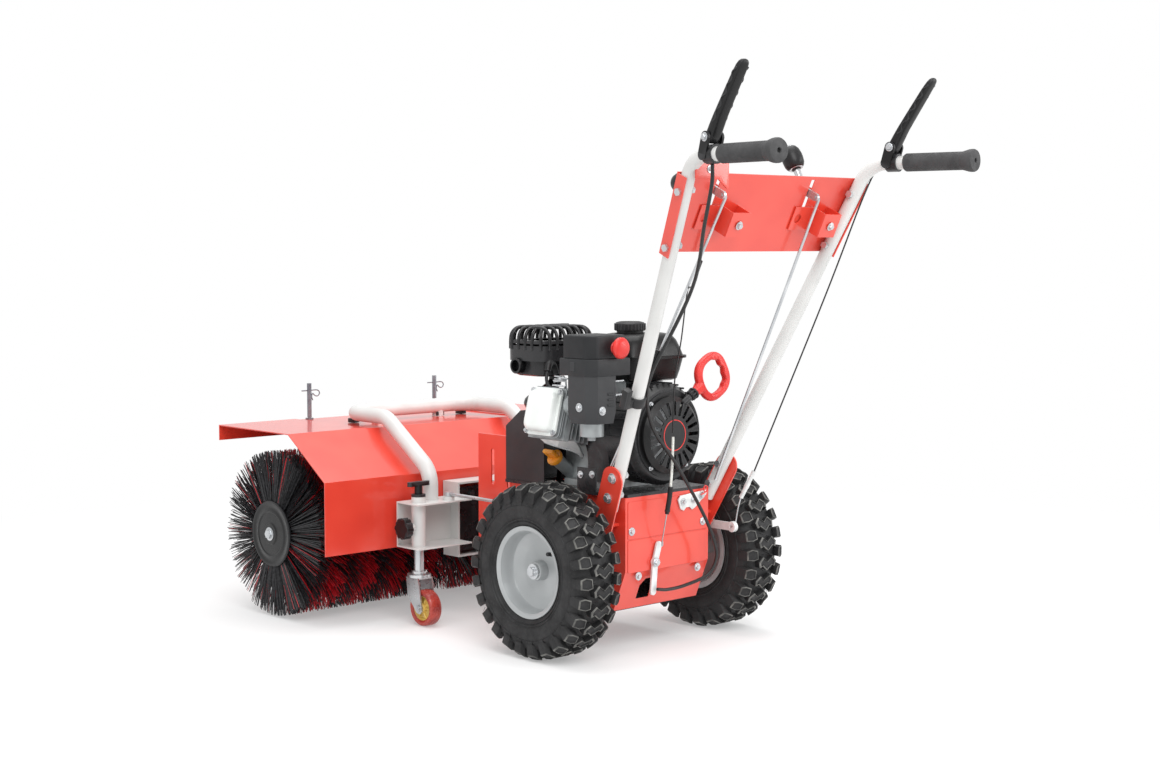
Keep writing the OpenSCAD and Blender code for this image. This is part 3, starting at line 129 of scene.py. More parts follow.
def surface(name, dark, light, rough, metal=0.0, scale=14.0, grain=900.0, bump=0.06, swing=0.08, coat=0.0,
            shine=0.5, edge=None, dust=None):
    """Finish of two tones in soft patches, with uneven gloss, fine grain, and worn edges or dust if asked.

    Scale and grain count the patches and the bumps in a metre, and swing is how far the gloss varies.
    """
    mat = bpy.data.materials.new(name)
    mat.use_nodes = True
    tree = mat.node_tree
    shader = tree.nodes["Principled BSDF"]
    place = tree.nodes.new("ShaderNodeTexCoord").outputs["Object"]
    patches = spread(tree, noise(tree, place, scale, 1.0), 0.3, 0.7, 0.0, 1.0)
    colour = blend_colour(tree, patches, srgb(dark), srgb(light))
    if dust:
        speck = spread(tree, noise(tree, place, scale * 9, 5.0), 0.56, 0.72, 0.0, 0.55)
        colour = blend_colour(tree, speck, colour, srgb(dust))
    if edge:
        point = tree.nodes.new("ShaderNodeNewGeometry").outputs["Pointiness"]
        worn = spread(tree, point, 0.52, 0.6, 0.0, 0.8)
        colour = blend_colour(tree, worn, colour, srgb(edge))
    tree.links.new(colour, shader.inputs["Base Color"])
    smooth, dull = max(rough - swing, 0.04), min(rough + swing, 1.0)
    gloss = spread(tree, noise(tree, place, scale * 4, 1.0), 0.3, 0.7, smooth, dull)
    tree.links.new(gloss, shader.inputs["Roughness"])
    raised = add_node(tree, "Bump", {"Strength": bump, "Distance": 0.0006})
    tree.links.new(noise(tree, place, grain, 2.0), raised.inputs["Height"])
    tree.links.new(raised.outputs["Normal"], shader.inputs["Normal"])
    shader.inputs["Metallic"].default_value = metal
    shader.inputs["Specular IOR Level"].default_value = shine
    shader.inputs["Coat Weight"].default_value = coat
    shader.inputs["Coat Roughness"].default_value = 0.12
    return mat


# Hood, frame and panel
RED = surface("red_powder_coat", (222, 62, 46), (230, 72, 54), 0.34, grain=160, bump=0.02, swing=0.01,
              coat=0.8)
# Tubes
GREY = surface("grey_tube_paint", (206, 206, 204), (218, 218, 216), 0.36, grain=200, bump=0.004, swing=0.01,
               coat=0.1)
# Wheel rims
RIM = surface("silver_rim_paint", (168, 171, 172), (182, 185, 186), 0.36, metal=0.3, bump=0.04)
# Bolts, shafts and rods
ZINC = surface("bright_zinc", (186, 189, 192), (214, 216, 218), 0.3, metal=0.8, scale=22, grain=600,
               bump=0.03, swing=0.04)
# Wire and pins
STEEL = surface("dull_steel", (118, 122, 130), (146, 150, 156), 0.32, metal=0.7, scale=40, grain=500,
                bump=0.03)
# Clutch arms and small brackets
WHITE_ZINC = surface("white_zinc", (212, 214, 214), (232, 233, 232), 0.42, metal=0.25, scale=70)
# Engine castings
CAST = surface("cast_alloy", (160, 164, 166), (182, 187, 188), 0.45, metal=0.6, scale=40, grain=420,
               bump=0.25)
# Valve cover
PALE_ALLOY = surface("pale_alloy", (234, 238, 235), (244, 247, 245), 0.44, metal=0.1, scale=25, grain=300,
                     bump=0.1, swing=0.03)
# Shroud, silencer and tray
BLACK = surface("black_enamel", (12, 12, 13), (20, 20, 21), 0.3, grain=600, bump=0.08, shine=0.4,
                edge=(52, 52, 54))
# Fuel tank
TANK = surface("gloss_tank", (12, 12, 13), (19, 19, 20), 0.3, grain=300, bump=0.03, swing=0.04, shine=0.3)
# Intake cover
CHARCOAL = surface("charcoal_plastic", (25, 26, 28), (33, 34, 36), 0.5, grain=1100, bump=0.16, shine=0.3,
                   edge=(66, 67, 69))
# Knobs, levers and caps
BLACK_PLASTIC = surface("black_plastic", (13, 13, 14), (21, 21, 22), 0.38, bump=0.12, shine=0.35,
                        edge=(58, 58, 60))
# Belt guard
GUARD = surface("dark_guard_paint", (38, 38, 40), (48, 48, 50), 0.4, grain=700, shine=0.4)
# Tyres
TYRE = surface("tyre_rubber", (28, 28, 29), (44, 44, 45), 0.6, scale=30, grain=500, bump=0.3, shine=0.35,
               dust=(58, 58, 57))
# Painted highlight along the top edges of the tread blocks
TREAD_HIGHLIGHT = surface("painted_tread_highlight", (66, 66, 64), (116, 115, 111), 0.6, scale=80, grain=600, bump=0.2)
# Grips
GRIP = surface("grip_rubber", (54, 54, 55), (68, 68, 69), 0.68, scale=40, bump=0.3)
# Cables
CABLE = surface("cable_sleeve", (18, 18, 19), (30, 30, 31), 0.4, scale=60, grain=800)
# Dipstick
ORANGE = surface("orange_plastic", (224, 138, 28), (242, 160, 44), 0.3, scale=40, grain=700, bump=0.05)
# Starter handle and pull knob
RED_PLASTIC = surface("red_plastic", (214, 44, 40), (232, 60, 54), 0.34, scale=40, grain=800, bump=0.08)
# Castor treads
TREAD_RED = surface("castor_tread", (150, 50, 44), (186, 72, 60), 0.28, scale=50, grain=500, bump=0.05)
# Castor hubs
HUB_YELLOW = surface("castor_hub", (196, 160, 76), (222, 190, 104), 0.36, scale=60, grain=600)
# Black strands
BRISTLE_BLACK = surface("black_bristle", (16, 16, 18), (50, 50, 53), 0.4, scale=160, shine=0.35)
# Red strands
BRISTLE_RED = surface("red_bristle", (150, 12, 24), (206, 30, 42), 0.38, scale=160)
# Starter rope
ROPE = surface("pale_rope", (196, 196, 190), (232, 232, 226), 0.7, scale=300, grain=1500, bump=0.5)


# Mesh building

def add_object(name, data):
    """New object of the scene."""
    item = bpy.data.objects.new(name, data)
    scene.collection.objects.link(item)
    return item


def finish_piece(name, bm, mat, stands_for=(), angle=35, body="chassis"):
    """Turns a bmesh in metres into a piece that rides on a body."""
    bmesh.ops.recalc_face_normals(bm, faces=bm.faces)
    mesh = bpy.data.meshes.new(name)
    bm.to_mesh(mesh)
    bm.free()
    mesh.shade_smooth()
    mesh.set_sharp_from_angle(angle=radians(angle))
    piece = add_object(name, mesh)
    for m in mat if isinstance(mat, list) else [mat]:
        mesh.materials.append(m)
    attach(piece, body)
    if stands_for:
        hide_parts(*stands_for)


def axis_frame(origin, axis, up=UP):
    """Matrix with local Z along axis and local Y near up, at a point in millimetres from the axle."""
    z = Vector(axis).normalized()
    up = Vector(up)
    if abs(z.dot(up.normalized())) > 0.98:
        up = Vector(AHEAD)
    x = up.cross(z).normalized()
    y = z.cross(x)
    turn = Matrix((x, y, z)).transposed().to_4x4()
    return Matrix.Translation(at(*origin)) @ turn @ Matrix.Scale(MM, 4)


def turned(matrix, n, count):
    """A matrix after n of count equal turns about its local Z."""
    return matrix @ Matrix.Rotation(tau * n / count, 4, "Z")


def circle(r, steps):
    """Points of a circle about the origin."""
    turns = [tau * k / steps for k in range(steps)]
    return [(r * cos(a), r * sin(a)) for a in turns]


def rounded(low, high, r, steps=5):
    """Outline of a rectangle with round corners."""
    outline = []
    for cx, cy, start in ((high[0] - r, high[1] - r, 0), (low[0] + r, high[1] - r, 90),
                          (low[0] + r, low[1] + r, 180), (high[0] - r, low[1] + r, 270)):
        for k in range(steps + 1):
            a = radians(start + 90 * k / steps)
            outline.append((cx + r * cos(a), cy + r * sin(a)))
    return outline


def inset_rings(low, high, levels, steps, base=0):
    """Rounded rectangles at levels of (height, inset, corner radius), to be skinned."""
    rings = []
    for h, inset, r in levels:
        corner = (low[0] + inset, low[1] + inset)
        rings.append((rounded(corner, (high[0] - inset, high[1] - inset), r, steps), base + h))
    return rings


def both_halves(half):
    """Profile of one half, with its mirror image before it."""
    return [(r, -h) for r, h in half] + [(r, h) for r, h in half[::-1]]


def skin(bm, rings, ends=True):
    """Joins a row of closed rings with faces, and closes both ends if asked."""
    faces = []
    for low, high in zip(rings, rings[1:]):
        for i in range(len(low)):
            j = (i + 1) % len(low)
            corners = list(dict.fromkeys((low[i], low[j], high[j], high[i])))
            if len(corners) > 2:
                faces.append(bm.faces.new(corners))
    if ends:
        bm.faces.new(rings[0][::-1])
        bm.faces.new(rings[-1])
    return faces


def add_lathe(bm, profile, matrix, steps=48):
    """Turns a profile of (radius, height) pairs about local Z."""
    rings = []
    for r, h in profile:
        spots = circle(r, steps) if r else [(0, 0)]
        ring = [bm.verts.new(matrix @ Vector((x, y, h))) for x, y in spots]
        rings.append(ring if r else ring * steps)
    skin(bm, rings, ends=False)


def merge(bm, part, matrix):
    """Adds one bmesh to another through a matrix."""
    new = {}
    for v in part.verts:
        new[v] = bm.verts.new(matrix @ v.co)
    for f in part.faces:
        bm.faces.new([new[v] for v in f.verts])
    part.free()


def add_prism(bm, outline, low, high, matrix, bevel=0.0, steps=2):
    """Extrudes an outline of (x, y) from low to high along local Z, with rounded edges."""
    part = bmesh.new()
    skin(part, [[part.verts.new((x, y, z)) for x, y in outline] for z in (low, high)])
    bmesh.ops.recalc_face_normals(part, faces=part.faces)
    if bevel:
        sharp = [e for e in part.edges if e.calc_face_angle(0) > radians(25)]
        bmesh.ops.bevel(part, geom=sharp, offset=bevel, segments=steps, profile=0.6, affect="EDGES",
                        clamp_overlap=True)
    merge(bm, part, matrix)


def add_loft(bm, rings, matrix):
    """Closed skin over a stack of outlines with equal point counts, each (outline, height)."""
    skin(bm, [[bm.verts.new(matrix @ Vector((x, y, h))) for x, y in outline] for outline, h in rings])


def smooth_path(points, per=8):
    """Points along a smooth curve through the given points."""
    pts = [Vector(p) for p in points]
    if len(pts) == 2:
        return pts
    pts = [2 * pts[0] - pts[1]] + pts + [2 * pts[-1] - pts[-2]]
    path = []
    for i in range(1, len(pts) - 2):
        a, b, c, d = pts[i - 1], pts[i], pts[i + 1], pts[i + 2]
        for k in range(per):
            t = k / per
            path.append(0.5 * (2 * b + (c - a) * t + (2 * a - 5 * b + 4 * c - d) * t * t
                               + (3 * b - a - 3 * c + d) * t ** 3))
    path.append(pts[-2])
    return path


def add_tube(bm, points, radius, sides=10, smooth=8):
    """Sweeps a circle along points in millimetres from the axle. A radius list gives one per point."""
    path = smooth_path(points, smooth) if smooth else [Vector(p) for p in points]
    count = len(path)
    radii = radius if isinstance(radius, list) else [radius] * count
    heading = (path[1] - path[0]).normalized()
    side = heading.orthogonal().normalized()
    rings = []
    for i, p in enumerate(path):
        ahead = path[min(i + 1, count - 1)] - path[max(i - 1, 0)]
        turn = heading.rotation_difference(ahead.normalized())
        side = (turn @ side).normalized()
        heading = ahead.normalized()
        other = heading.cross(side)
        rings.append([bm.verts.new(at(*(p + c * side + s * other))) for c, s in circle(radii[i], sides)])
    skin(bm, rings)


def add_bolt(bm, origin, axis, size=6.5, height=4.5, washer=9.5):
    """Hex head with a chamfer and a washer, standing on a surface."""
    matrix = axis_frame(origin, axis)
    rest = 1.6
    top = rest + height
    add_lathe(bm, [(0, 0), (washer, 0), (washer, 1.2), (washer - 0.5, rest), (0, rest)], matrix, 24)
    add_lathe(bm, [(0, rest), (size, rest), (size, top - 1), (size * 0.86, top), (0, top)], matrix, 6)


# Brush

# Rows of tufts along one half of the brush
TUFT_ROWS = 28
# Place of the first row, and the pitch of the rows
FIRST_ROW_X = 36
ROW_PITCH = 13.2
# Outermost rows, dense and nearly all black, and the rows beside them, mostly red
END_ROWS = 3
RED_ROWS = 4
# Radii of the brush at the foot, the middle and the tip of a strand
FOOT_R = 46
MIDDLE_R = 112
TIP_R = 172.8
# Axial pitch of the slanting red bands, their turns round the brush, and their share
BAND_PITCH = 82
BAND_TURNS = 2
BAND_SHARE = 0.46


def draw_strand(rng, row):
    """Colour of a strand near a row, and its three stations of (x, radius, angle, half width)."""
    end_row = row >= TUFT_ROWS - END_ROWS
    stray = 0.012 if end_row else 0.033
    a = rng.uniform(0, tau)
    x = min(max(FIRST_ROW_X + ROW_PITCH * row + rng.gauss(0, 2.6), 33), 396)
    red = (x / BAND_PITCH + a / tau * BAND_TURNS) % 1.0 < BAND_SHARE
    if end_row:
        red = rng.random() < 0.05
    elif rng.random() < 0.1:
        red = not red
    if not end_row and row >= TUFT_ROWS - END_ROWS - RED_ROWS:
        red = rng.random() < 0.72
    lean = rng.gauss(0, stray)
    tip_a = a + rng.gauss(0, stray)
    tip_x = min(max(x + rng.gauss(0, 2.0 if end_row else 4.5), 32), 397)
    tip_r = TIP_R - abs(rng.gauss(0, 2.6))
    middle_r = MIDDLE_R + rng.uniform(-14, 14)
    middle_a = (a + tip_a) / 2 + lean * 0.4
    middle_x = (x + tip_x) / 2 + rng.gauss(0, 1.2)
    width = rng.uniform(0.75, 1.15)
    stations = ((x, FOOT_R, a, width), (middle_x, middle_r, middle_a, width),
                (tip_x, tip_r, tip_a, width * 0.8))
    return "red" if red else "black", stations


def add_strand(verts, faces, k, stations):
    """Three-sided strand through stations of (x, radius, angle, half width), closed at its tip."""
    base = len(verts)
    spin = stations[0][2]
    for x, r, a, w in stations:
        for c in range(3):
            t = tau * c / 3 + spin
            reach = r + w * sin(t) * 0.2
            turn = a + w * sin(t) / r
            verts.append(at(k * (x + w * cos(t)), BRUSH[0] + reach * cos(turn),
                            BRUSH[1] + reach * sin(turn)))
    for s in (base, base + 3):
        for c in range(3):
            d = (c + 1) % 3
            faces.append((s + c, s + d, s + 3 + d, s + 3 + c))
    faces.append((base + 6, base + 7, base + 8))


def build_strands():
    """Fine strands in rows of tufts, red and black in slanting bands."""
    rng = random.Random(7)
    for side, k in SIDES:
        strands = {"black": ([], []), "red": ([], [])}
        for row in range(TUFT_ROWS):
            for _ in range(430 if row >= TUFT_ROWS - END_ROWS else 230):
                colour, stations = draw_strand(rng, row)
                add_strand(*strands[colour], k, stations)
        for colour, mat in (("black", BRISTLE_BLACK), ("red", BRISTLE_RED)):
            verts, faces = strands[colour]
            mesh = bpy.data.meshes.new("bristles_%s_%s" % (colour, side))
            mesh.from_pydata(verts, [], faces)
            mesh.materials.append(mat)
            piece = add_object("strands_%s_%s" % (colour, side), mesh)
            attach(piece, "brush")
            if colour == "black":
                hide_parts("bristles_" + side)


def build_brush_core():
    """Core of the brush with dished ends, and the nuts on them."""
    core = [(0, 0), (15, 0), (15, 26), (26, 26.6), (26, 31), (44, 32), (44, 394)]
    dish = [(66, 395), (68.3, 396), (68.5, 399), (66.5, 401.2), (62, 401), (59, 399.6), (52, 399.4),
            (50, 400.6), (46, 400.6), (44, 399.2), (24, 399.4), (21, 401.6), (0, 401.8)]
    bm = bmesh.new()
    for k in (-1, 1):
        add_lathe(bm, core + dish, axis_frame((0, *BRUSH), (k, 0, 0)), 64)
    finish_piece("brush_core", bm, BLACK, ["brush_shaft"], body="brush")
    bm = bmesh.new()
    for k in (-1, 1):
        matrix = axis_frame((k * 401.5, *BRUSH), (k, 0, 0))
        add_lathe(bm, [(0, 0), (14, 0), (14, 1.6), (13, 2), (0, 2)], matrix, 32)
        add_lathe(bm, [(0, 2), (10, 2), (10, 6), (8.6, 7.4), (0, 7.4)], matrix, 6)
    finish_piece("brush_nuts", bm, ZINC, body="brush")


# Wheels

# Tread blocks round a tyre
TREAD_ROWS = 26
# Outlines of the blocks in the middle, on the shoulder and on the flank: across the tyre, and along it
CHEVRON = [(0, -15), (15, -4), (22, -8), (25, 3), (14, 13), (0, 3), (-14, 13), (-25, 3), (-22, -8),
           (-15, -4)]
SHOULDER = [(29, -9), (39, -12), (50.5, -11), (50.8, 7), (43, 11), (31, 8)]
FLANK = [(45, -9), (50, -11), (50, 7), (45, 7)]
# Section of half a tyre's carcass
CARCASS = [(80, 38), (83, 41), (88, 42), (93, 45.5), (100, 48.6), (112, 50.2), (122, 50.4), (132, 48.8),
           (142, 45), (149, 37), (153, 25), (154, 10)]
# Section of a rim: the inner half of its dish and its bead seats, then the outer half and the hub
RIM_BACK = [(9.6, -30), (20, -30), (20.5, -28), (20.5, 2), (56, 2), (62, 0), (70, -10), (73, -38),
            (76, -44), (86.4, -44.4), (87, -43.4), (86.6, -42.6), (78, -41.6), (78, -36), (78.4, 0),
            (78, 36), (78, 41.6), (86.6, 42.6), (87.2, 43.6), (86.6, 44.8)]
RIM_FACE = [(83, 44.4), (79, 42), (77, 38), (75.6, 26), (75, 20), (72.4, 14.5), (67, 10.5), (61, 8.6),
            (55, 6.2), (48, 5.2), (22, 5), (19, 6.2), (18.4, 9), (18.2, 22), (17, 24.6), (14, 25.4),
            (9.6, 25.4)]


def on_tyre(k, x, r, a):
    """Point of a tyre at x from its middle, radius r and angle a from its lowest point."""
    return (k * HALF_TRACK + x, -r * sin(a), AXLE_Z - r * cos(a))


def crown_drop(x):
    """How far the tread falls away towards the shoulders."""
    return max(0.0, abs(x) - 28) ** 2 * 0.02


def add_block(bm, outline, k, r_low, r_high, step):
    """One tread block: its outline wrapped on the tyre, with a pale rim of painted highlight and a sunk
    top.
    """
    cx = sum(p[0] for p in outline) / len(outline)
    cy = sum(p[1] for p in outline) / len(outline)
    levels = ((r_low, 1.08), (r_high - 1.2, 1.0), (r_high, 0.95), (r_high, 0.82), (r_high - 2.0, 0.72))
    rings = []
    for r, size in levels:
        ring = []
        for x, y in outline:
            px = cx + (x - cx) * size
            a = step + (cy + (y - cy) * size) / 160
            ring.append(bm.verts.new(at(*on_tyre(k, px, r - crown_drop(px), a))))
        rings.append(ring)
    for n, face in enumerate(skin(bm, rings, ends=False)):
        # The second and third bands, round the top edge, take the painted highlight material
        face.material_index = 1 if n // len(outline) in (1, 2) else 0
    bm.faces.new(rings[-1])


def build_tyre(side, k, rng):
    """Carcass with rings on its walls, tread blocks and fine hairs of rubber."""
    bm = bmesh.new()
    matrix = axis_frame((k * HALF_TRACK, 0, AXLE_Z), RIGHT)
    add_lathe(bm, both_halves(CARCASS), matrix, 96)
    for r, h in ((96, 48.2), (101.5, 49.8), (127, 50.3)):
        for s in (-1, 1):
            ridge = [(r - 1.6, s * (h - 2)), (r, s * (h + 0.6)), (r + 1.6, s * (h - 1.2))]
            add_lathe(bm, ridge, matrix, 96)
    for n in range(TREAD_ROWS):
        step = tau * n / TREAD_ROWS
        between = step + pi / TREAD_ROWS
        add_block(bm, CHEVRON, k, 147, 164.8, step)
        for s in (-1, 1):
            add_block(bm, [(s * x, y) for x, y in SHOULDER], k, 144, 165.4, between)
            add_block(bm, [(s * x, y * 0.8) for x, y in FLANK], k, 137, 152.5, between)
    for n in range(300):
        a = rng.uniform(0, tau)
        x = rng.uniform(-49, 49)
        foot = 150 - crown_drop(x)
        reach = rng.uniform(10, 14.5)
        tilt = rng.gauss(0, 0.03)
        hair = []
        for f in (0.0, 0.5, 1.0):
            hair.append(on_tyre(k, x + rng.gauss(0, 0.5) * f, min(foot + reach * f, 165.6), a + tilt * f))
        add_tube(bm, hair, 0.4, 4, smooth=0)
    # The second material is the painted highlight on the tread block edges
    finish_piece("treaded_tyre_" + side, bm, [TYRE, TREAD_HIGHLIGHT],
                 ["tyre_" + side], 32, body="wheels")


def build_rim(side, k):
    """Deep pressed rim with its hub nut and valve."""
    bm = bmesh.new()
    add_lathe(bm, RIM_BACK + RIM_FACE, axis_frame((k * HALF_TRACK, 0, AXLE_Z), (k, 0, 0)), 96)
    finish_piece("pressed_rim_" + side, bm, RIM, ["rims"] if k < 0 else (), 28, body="wheels")
    bm = bmesh.new()
    hub = axis_frame((k * (HALF_TRACK + 26), 0, AXLE_Z), (k, 0, 0))
    nut = [(0, 2.4), (9, 2.4), (9, 7.4), (7.6, 8.8), (4.5, 8.8), (4.5, 10.4), (0, 10.6)]
    add_lathe(bm, [(0, 0), (13.5, 0), (13.5, 1.8), (12.8, 2.4), (0, 2.4)], hub, 32)
    add_lathe(bm, nut, hub, 6)
    finish_piece("hub_nut_" + side, bm, ZINC, body="wheels")
    bm = bmesh.new()
    a = radians(38)
    foot = (k * (HALF_TRACK + 6), -60 * cos(a), AXLE_Z + 60 * sin(a))
    stem = [(0, 0), (7, 0), (6.2, 2.5), (4.6, 5), (4.4, 24), (3.8, 25), (3.8, 33), (3.2, 34), (0, 34)]
    add_lathe(bm, stem, axis_frame(foot, (k, -0.12, 0.1)), 20)
    finish_piece("valve_" + side, bm, BLACK_PLASTIC, body="wheels")


def build_wheels():
    """Tractor-tread tyres on pressed rims."""
    rng = random.Random(11)
    for side, k in SIDES:
        build_tyre(side, k, rng)
        build_rim(side, k)


# Engine

# The cylinder leans out to the left: a point of its axis, its direction, and the way up across it
CYLINDER = Vector((0, 60, CRANK_Z))
CYLINDER_OUT = Vector((-0.968, 0, 0.25))
CYLINDER_UP = Vector((0.25, 0, 0.968))


def build_carb_cover():
    """Three-tier intake cover with a chamfered corner, its bolts and its pull knob."""
    foot = [(-183, -28), (-183, -70), (-168, -86), (-127, -86), (-127, -28)]
    lower = [(-187, -26), (-187, -72), (-171, -90), (-125, -90), (-125, -26)]
    middle = [(-189, -4), (-189, -73), (-172, -92), (-89, -92), (-89, -4)]
    upper = [(-187, -11), (-187, -72), (-171, -90), (-100, -90), (-100, -11)]
    bm = bmesh.new()
    add_loft(bm, [(foot, 441), (foot, 443), (lower, 462), (lower, 532)], UPRIGHT)
    add_prism(bm, middle, 530, 562, UPRIGHT, 2.0)
    add_prism(bm, upper, 561, 606, UPRIGHT, 4.5, 3)
    add_prism(bm, rounded((-190.4, -46), (-186, -34), 1.2, 2), 538, 556, UPRIGHT, 0.8, 1)
    for z in (474, 484, 494):
        add_prism(bm, rounded((-146, -92), (-130, -88), 1.2, 2), z, z + 4, UPRIGHT, 0.6, 1)
    finish_piece("intake_cover", bm, CHARCOAL, ["carb_cover"], 22)
    bm = bmesh.new()
    add_bolt(bm, (-160, -90, 466), BACK, 5.4, 3.6, 8.4)
    add_bolt(bm, (-187, -57, 472), LEFT, 5.4, 3.6, 8.4)
    add_tube(bm, [(-126, -84, 519), (-96, -80, 519)], 2.2)
    add_tube(bm, [(-126, -84, 493), (-96, -78, 493)], 3.0)
    finish_piece("intake_bolts", bm, ZINC)
    bm = bmesh.new()
    knob = [(0, 0), (13, 0), (12, 2.5), (10, 4), (10, 8), (13, 10), (18.5, 12), (20, 14.5), (20, 18),
            (18, 21.4), (12, 24), (6, 25), (0, 25.4)]
    add_lathe(bm, knob, axis_frame((-126, -88, 582), BACK), 40)
    finish_piece("pull_knob", bm, RED_PLASTIC, ["choke_knob"], 40, body="choke_knob")


def build_tank():
    """Pressed tank of two shells joined at a flange, with a ribbed cap."""
    lower_shell = ((511, 18, 20), (514, 11, 24), (530, 6, 28), (554, 1, 30))
    flange = ((554.6, -5, 34), (559.4, -5, 34))
    upper_shell = ((560, 1, 30), (574, 5, 30), (589, 11, 28), (597, 17, 26), (601, 24, 24), (602.6, 32, 22),
                   (603, 44, 14))
    bm = bmesh.new()
    add_loft(bm, inset_rings((-65, -75), (90, 60), lower_shell + flange + upper_shell, 8), UPRIGHT)
    finish_piece("pressed_tank", bm, TANK, ["fuel_tank"], 40)
    cap = [(0, 0.4), (26, 0.4), (26, 4), (29.4, 4), (30, 6), (29.6, 17), (27, 20), (21, 21.6), (20, 20.6),
           (0, 20.6)]
    ribs = 28
    neck = axis_frame((0, 0, 603), UP)
    bm = bmesh.new()
    add_lathe(bm, cap, neck)
    for n in range(ribs):
        add_prism(bm, rounded((28.8, -1.4), (30.9, 1.4), 0.6, 2), 5, 18, turned(neck, n, ribs), 0.4, 1)
    finish_piece("ribbed_cap", bm, BLACK_PLASTIC, ["fuel_cap"], body="fuel_cap")


def build_shroud():
    """Ribs over the top of the fan shroud, and the sheet that runs from it down to the tray."""
    bm = bmesh.new()
    for n in range(15):
        a = radians(40 + 10 * n)
        out = Vector((cos(a), 0, sin(a)))
        rib = axis_frame((97 * out.x, -98, CRANK_Z + 97 * out.z), AHEAD, out)
        add_prism(bm, rounded((-1.3, 0), (1.3, 3.2), 0.6, 2), 0, 60, rib, 0.4, 1)
    line = []
    for a in (28, 14, 0, -12, -22):
        line.append((-98 * cos(radians(a)), CRANK_Z + 98 * sin(radians(a))))
    line += [(-89, 350), (-89, 320)]
    sheet = line + [(x + 2.4, z) for x, z in line[::-1]]
    add_prism(bm, sheet, -24, 34, axis_frame((0, 0, 0), BACK))
    finish_piece("shroud_ribs", bm, BLACK)


def build_engine_bolts():
    """Screws of the starter cover, bolts of the valve cover, and bolts of the link bracket."""
    bm = bmesh.new()
    for a in (52, 128, 232, 308):
        c, d = cos(radians(a)), sin(radians(a))
        add_bolt(bm, (77.5 * c, -104.6, CRANK_Z + 77.5 * d), BACK, 3.4, 3.0, 4.6)
    for u in (-34, 34):
        for v in (-36, 36):
            spot = CYLINDER + CYLINDER_OUT * 177.4 + CYLINDER_UP * u * 1.16 + Vector((0, v * 1.06, 0))
            add_bolt(bm, spot, CYLINDER_OUT, 4.2, 3.4, 5.6)
    for y, z in ((6, 336), (-26, 339)):
        add_bolt(bm, (-125, y, z), LEFT, 4.6, 3.4, 7.2)
    finish_piece("engine_bolts", bm, ZINC)


def build_cylinder_head():
    """Valve cover with a flange and soft edges, on a head with fins."""
    head = axis_frame(CYLINDER, CYLINDER_OUT, CYLINDER_UP)
    cover = ((173, 4, 12), (177.4, 4, 12), (177.6, 9, 14), (186, 10, 14), (192, 12, 15), (195, 15, 15),
             (196, 20, 12))
    bm = bmesh.new()
    add_loft(bm, inset_rings((-46, -50), (46, 50), cover, 6), head)
    finish_piece("valve_cap", bm, PALE_ALLOY, ["valve_cover"], 40)
    bm = bmesh.new()
    add_prism(bm, rounded((-38, -42), (38, 42), 8), 157, 173.2, head)
    for h in (158, 162.4, 166.8):
        add_prism(bm, rounded((-45, -48), (45, 48), 9), h, h + 1.8, head, 0.5, 1)
    finish_piece("head_fins", bm, CAST)


def build_throttle():
    """Two rods and a coil spring between the cylinder and the intake cover."""
    low_rod = [(-142, 28, 474), (-144, 29, 500), (-152, 30, 506), (-182, 22, 509), (-178, -9, 508)]
    high_rod = [(-128, 40, 484), (-140, 34, 520), (-160, 30, 524), (-178, 20, 526), (-172, -9, 522)]
    coil = [(-138, 32, 488)]
    for n in range(73):
        a = radians(60 * n)
        coil.append((-146 - 0.42 * n, 24 + 3.4 * cos(a), 518 + 3.4 * sin(a)))
    coil.append((-174, -9, 516))
    bm = bmesh.new()
    add_tube(bm, low_rod, 1.5, 8)
    add_tube(bm, high_rod, 1.2, 8)
    add_tube(bm, coil, 0.8, 6, smooth=0)
    finish_piece("throttle_links", bm, ZINC)


def build_dipstick():
    """Round cap with a finger bar, on the slanting filler neck."""
    axis = Vector((-0.788, 0, 0.616))
    foot = axis_frame(Vector((-94, 96, 347)) + axis * 14.4, axis, AHEAD)
    bm = bmesh.new()
    add_lathe(bm, [(0, -1), (14, -1), (14, 2), (16.5, 3), (17, 7), (16, 9.5), (0, 10.5)], foot, 32)
    add_prism(bm, rounded((-4.2, -15), (4.2, 15), 3.6, 5), 9, 30, foot, 2.5, 3)
    finish_piece("dipstick_turn", bm, ORANGE, ["dipstick"], 40, body="dipstick")


# Silencer: two corners of its outline, and the height of its underside
CAN_LOW = (-128, 112)
CAN_HIGH = (6, 212)
CAN_Z = 516


def build_silencer():
    """Silencer can with its pipe and outlet."""
    can = ((0, 8, 22), (3, 2, 26), (60, 2, 26), (68, 8, 24), (70, 20, 16))
    pipe = [(-140, 106, 464), (-138, 136, 466), (-110, 142, 476), (-72, 142, 498), (-66, 142, 520)]
    outlet = [(0, 8), (11.5, 8), (11.5, 19), (15, 19), (15.6, 18), (15.6, 3), (19, 2), (19, 0), (0, 0)]
    bm = bmesh.new()
    add_loft(bm, inset_rings(CAN_LOW, CAN_HIGH, can, 6, CAN_Z), UPRIGHT)
    add_tube(bm, pipe, 13, 16)
    add_lathe(bm, outlet, axis_frame((-122, 178, CAN_Z + 20), LEFT), 32)
    finish_piece("silencer", bm, BLACK, ["muffler"])


